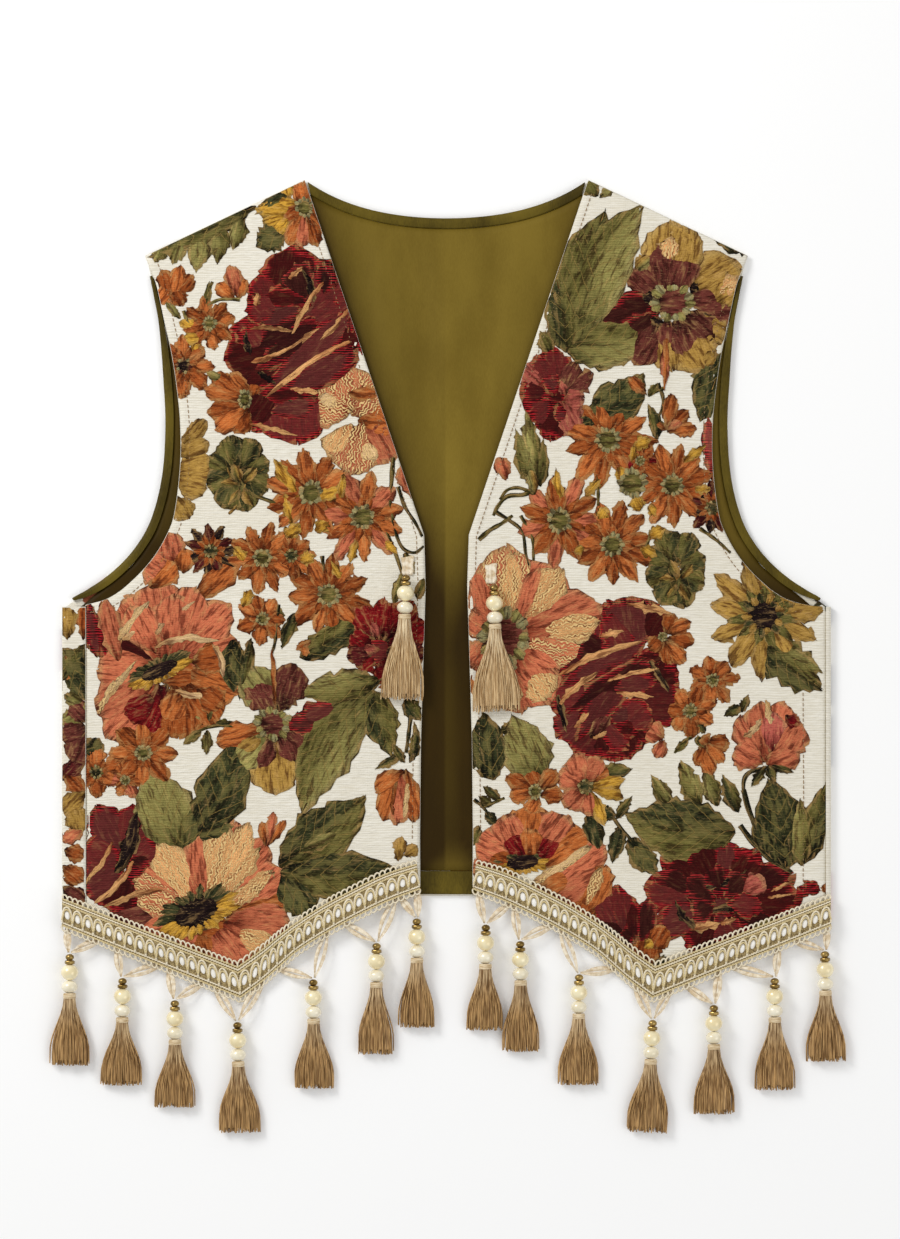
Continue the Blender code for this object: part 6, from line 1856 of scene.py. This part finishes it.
def tassel_core(tassel):
    """Flat closed core inside the threads, a spun body pressed flat towards its foot."""
    skirt = tassel.length - SKIRT_START
    down = np.linspace(0.0, 0.9, 10)
    turn = np.linspace(0.0, 2.0 * math.pi, 25)
    wide = mix(NECK_RADIUS * 0.75, tassel.half_width * 0.82, smooth(down / 0.8))[:, None]
    thick = mix(NECK_RADIUS * 0.75, SKIRT_THICK / 2.0 - 1.3, smooth(down / 0.6))[:, None]
    droop = (PEARL_RADIUS - SKIRT_THICK / 2.0) * smooth(down)[:, None]
    x = wide * np.sin(turn)[None, :]
    z = thick * np.cos(turn)[None, :] - droop
    return np.stack(np.broadcast_arrays(x, -skirt * down[:, None], z), axis=-1)


def neck_binding():
    """The wrapped neck: a cord wound round it in close turns."""
    turn = np.linspace(0.0, 1.0, 86)
    angle = turn * 2.0 * math.pi * BINDING_TURNS
    ring = NECK_RADIUS - 0.45 + 0.25 * np.sin(math.pi * turn)
    return np.column_stack([ring * np.cos(angle), -0.3 - (NECK_LENGTH - 0.7) * turn, ring * np.sin(angle)])


def mark_down(mesh, tassel):
    """How far down the tassel's skirt each point lies, from 0 at the neck to 1 at the ends."""
    start = BEADS_LENGTH + NECK_LENGTH
    mark(mesh, "down", (tassel.y - start - points_of(mesh)[:, 1] / MM) / (tassel.length - start))


STRAND_RADIUS = 0.5
BINDING_RADIUS = 0.55
skirts = []
for number, tassel in enumerate(ALL_TASSELS):
    rng = np.random.default_rng(700 + number)
    finish_of = THREAD_TAN if tassel.foot_x else THREAD_PALE
    height = rest_height(tassel)
    node = "tassel_" + tassel.name
    paths = [lay(path, tassel, SKIRT_START, height) for path in tassel_strands(tassel, rng)]
    slot = "tassel_thread" if tassel.foot_x else "pale_tassel_thread"
    mesh = threads(paths, STRAND_RADIUS, sides=4, taper=np.linspace(1.0, 0.7, 9))
    mark_down(mesh, tassel)
    skirts.append(show("tassel_threads_" + tassel.name, mesh, finish_of, slot, node))
    core, _ = patches("tassel_core_" + tassel.name, lay(tassel_core(tassel), tassel, SKIRT_START, height)[None])
    mark_down(core, tassel)
    show("tassel_core_" + tassel.name, core, finish_of, slot, node)
    binding = [lay(neck_binding(), tassel, BEADS_LENGTH + 0.1, height)]
    show("tassel_neck_" + tassel.name, threads(binding, BINDING_RADIUS, sides=6), NECK_WRAP, slot, node)
print("tassels", len(ALL_TASSELS))

# %% [markdown]
# ## Topstitching
# Brown thread holds the turned edges of the fronts: a line of short stitches inside each armhole, one inside each
# open centre edge, and an upright one by the wearer's left side seam. Each stitch is a short thread that dips in
# at both ends.

# %% Topstitching
def inset(word, u, depth, low, high):
    """A line at a fixed depth inside one edge of a front: u is 0 at the outer edge and 1 at the centre edge."""
    v = np.linspace(low, high, 240)
    x, y = front_xy(word, np.full_like(v, u), v)
    ahead = np.array([np.gradient(x), np.gradient(y)])
    ahead = (1.0 - 2.0 * u) * ahead / np.hypot(*ahead)
    return np.column_stack([SIDES[word] * (x - ahead[1] * depth), y + ahead[0] * depth])


def stitch_line(points, word, pitch=3.2, length=2.1):
    """Short stitches along a line on a front, as rows of three points."""
    run = np.concatenate([[0.0], np.cumsum(np.hypot(*np.diff(points, axis=0).T))])
    at = np.arange(0.6, run[-1] - length, pitch)[:, None] + length * np.array([0.0, 0.5, 1.0])
    x, y = (np.interp(at, run, column) for column in np.transpose(points))
    return np.stack([x, y, front_top(x, y, word) + np.array([0.0, 0.5, 0.0])], axis=-1)


STITCH_RADIUS = 0.24
topstitching = {}
for word in SIDES:
    lines = [inset(word, 0.0, 5.4, 0.33, 0.985), inset(word, 1.0, 4.6, 0.1, 0.97)]
    if word == "left":
        lines.append([(221.0, -146.0), (221.4, -90.0), (221.0, -20.0)])
    dashes = [dash for line in lines for dash in stitch_line(line, word)]
    thread = threads(dashes, STITCH_RADIUS)
    topstitching[word] = show("topstitch_" + word, thread, STITCH, "tapestry", "front_" + word)
    print("stitches", word, len(dashes))

# %% [markdown]
# ## The size of each cut
# Every sheet of cloth is printed with the rectangle it's cut from, in millimetres, and the area of its own shape.

# %% Sheets of cloth
def cut(made, width, length, together=()):
    flat = (width * MM, length * MM)
    area = min(sum(face.area for face in made.data.polygons), flat[0] * flat[1])
    print(f"{made.name}: {width:.0f} x {length:.0f} mm, {area * 1e4:.0f} square cm")


SIDE_FOLDS = 2.0 * math.pi * FOLD_RADIUS
cut(back, 2.0 * FOLD_X + SIDE_FOLDS + 2.0 * FOLD_X - sum(SEAMS.values()), 459.0, together=[flowers["strip"]])
cut(lining, 2.0 * LINING_X, 424.0, [neck_band, *armhole_bands])
cut(hem_band, 2.0 * LINING_X, 30.0)
for number, (word, side) in enumerate(SIDES.items()):
    cut(fronts[word], SEAMS[word] - 13.0, 508.0, [flowers[word], topstitching[word], tabs[number]])
    band, trims = braids[word]
    x, y, _ = braid_place(word, np.linspace(0.0, LOOPS, 400), 0.5)
    braid_length = float(np.hypot(np.diff(x), np.diff(y)).sum()) + 2.0
    of_hem = [piece for piece in ribbons + skirts if "chest" not in piece.name]
    hung = [piece for piece in of_hem if side * piece.data.vertices[0].co.x > 0.0]
    cut(band, 19.0, braid_length, trims + hung)
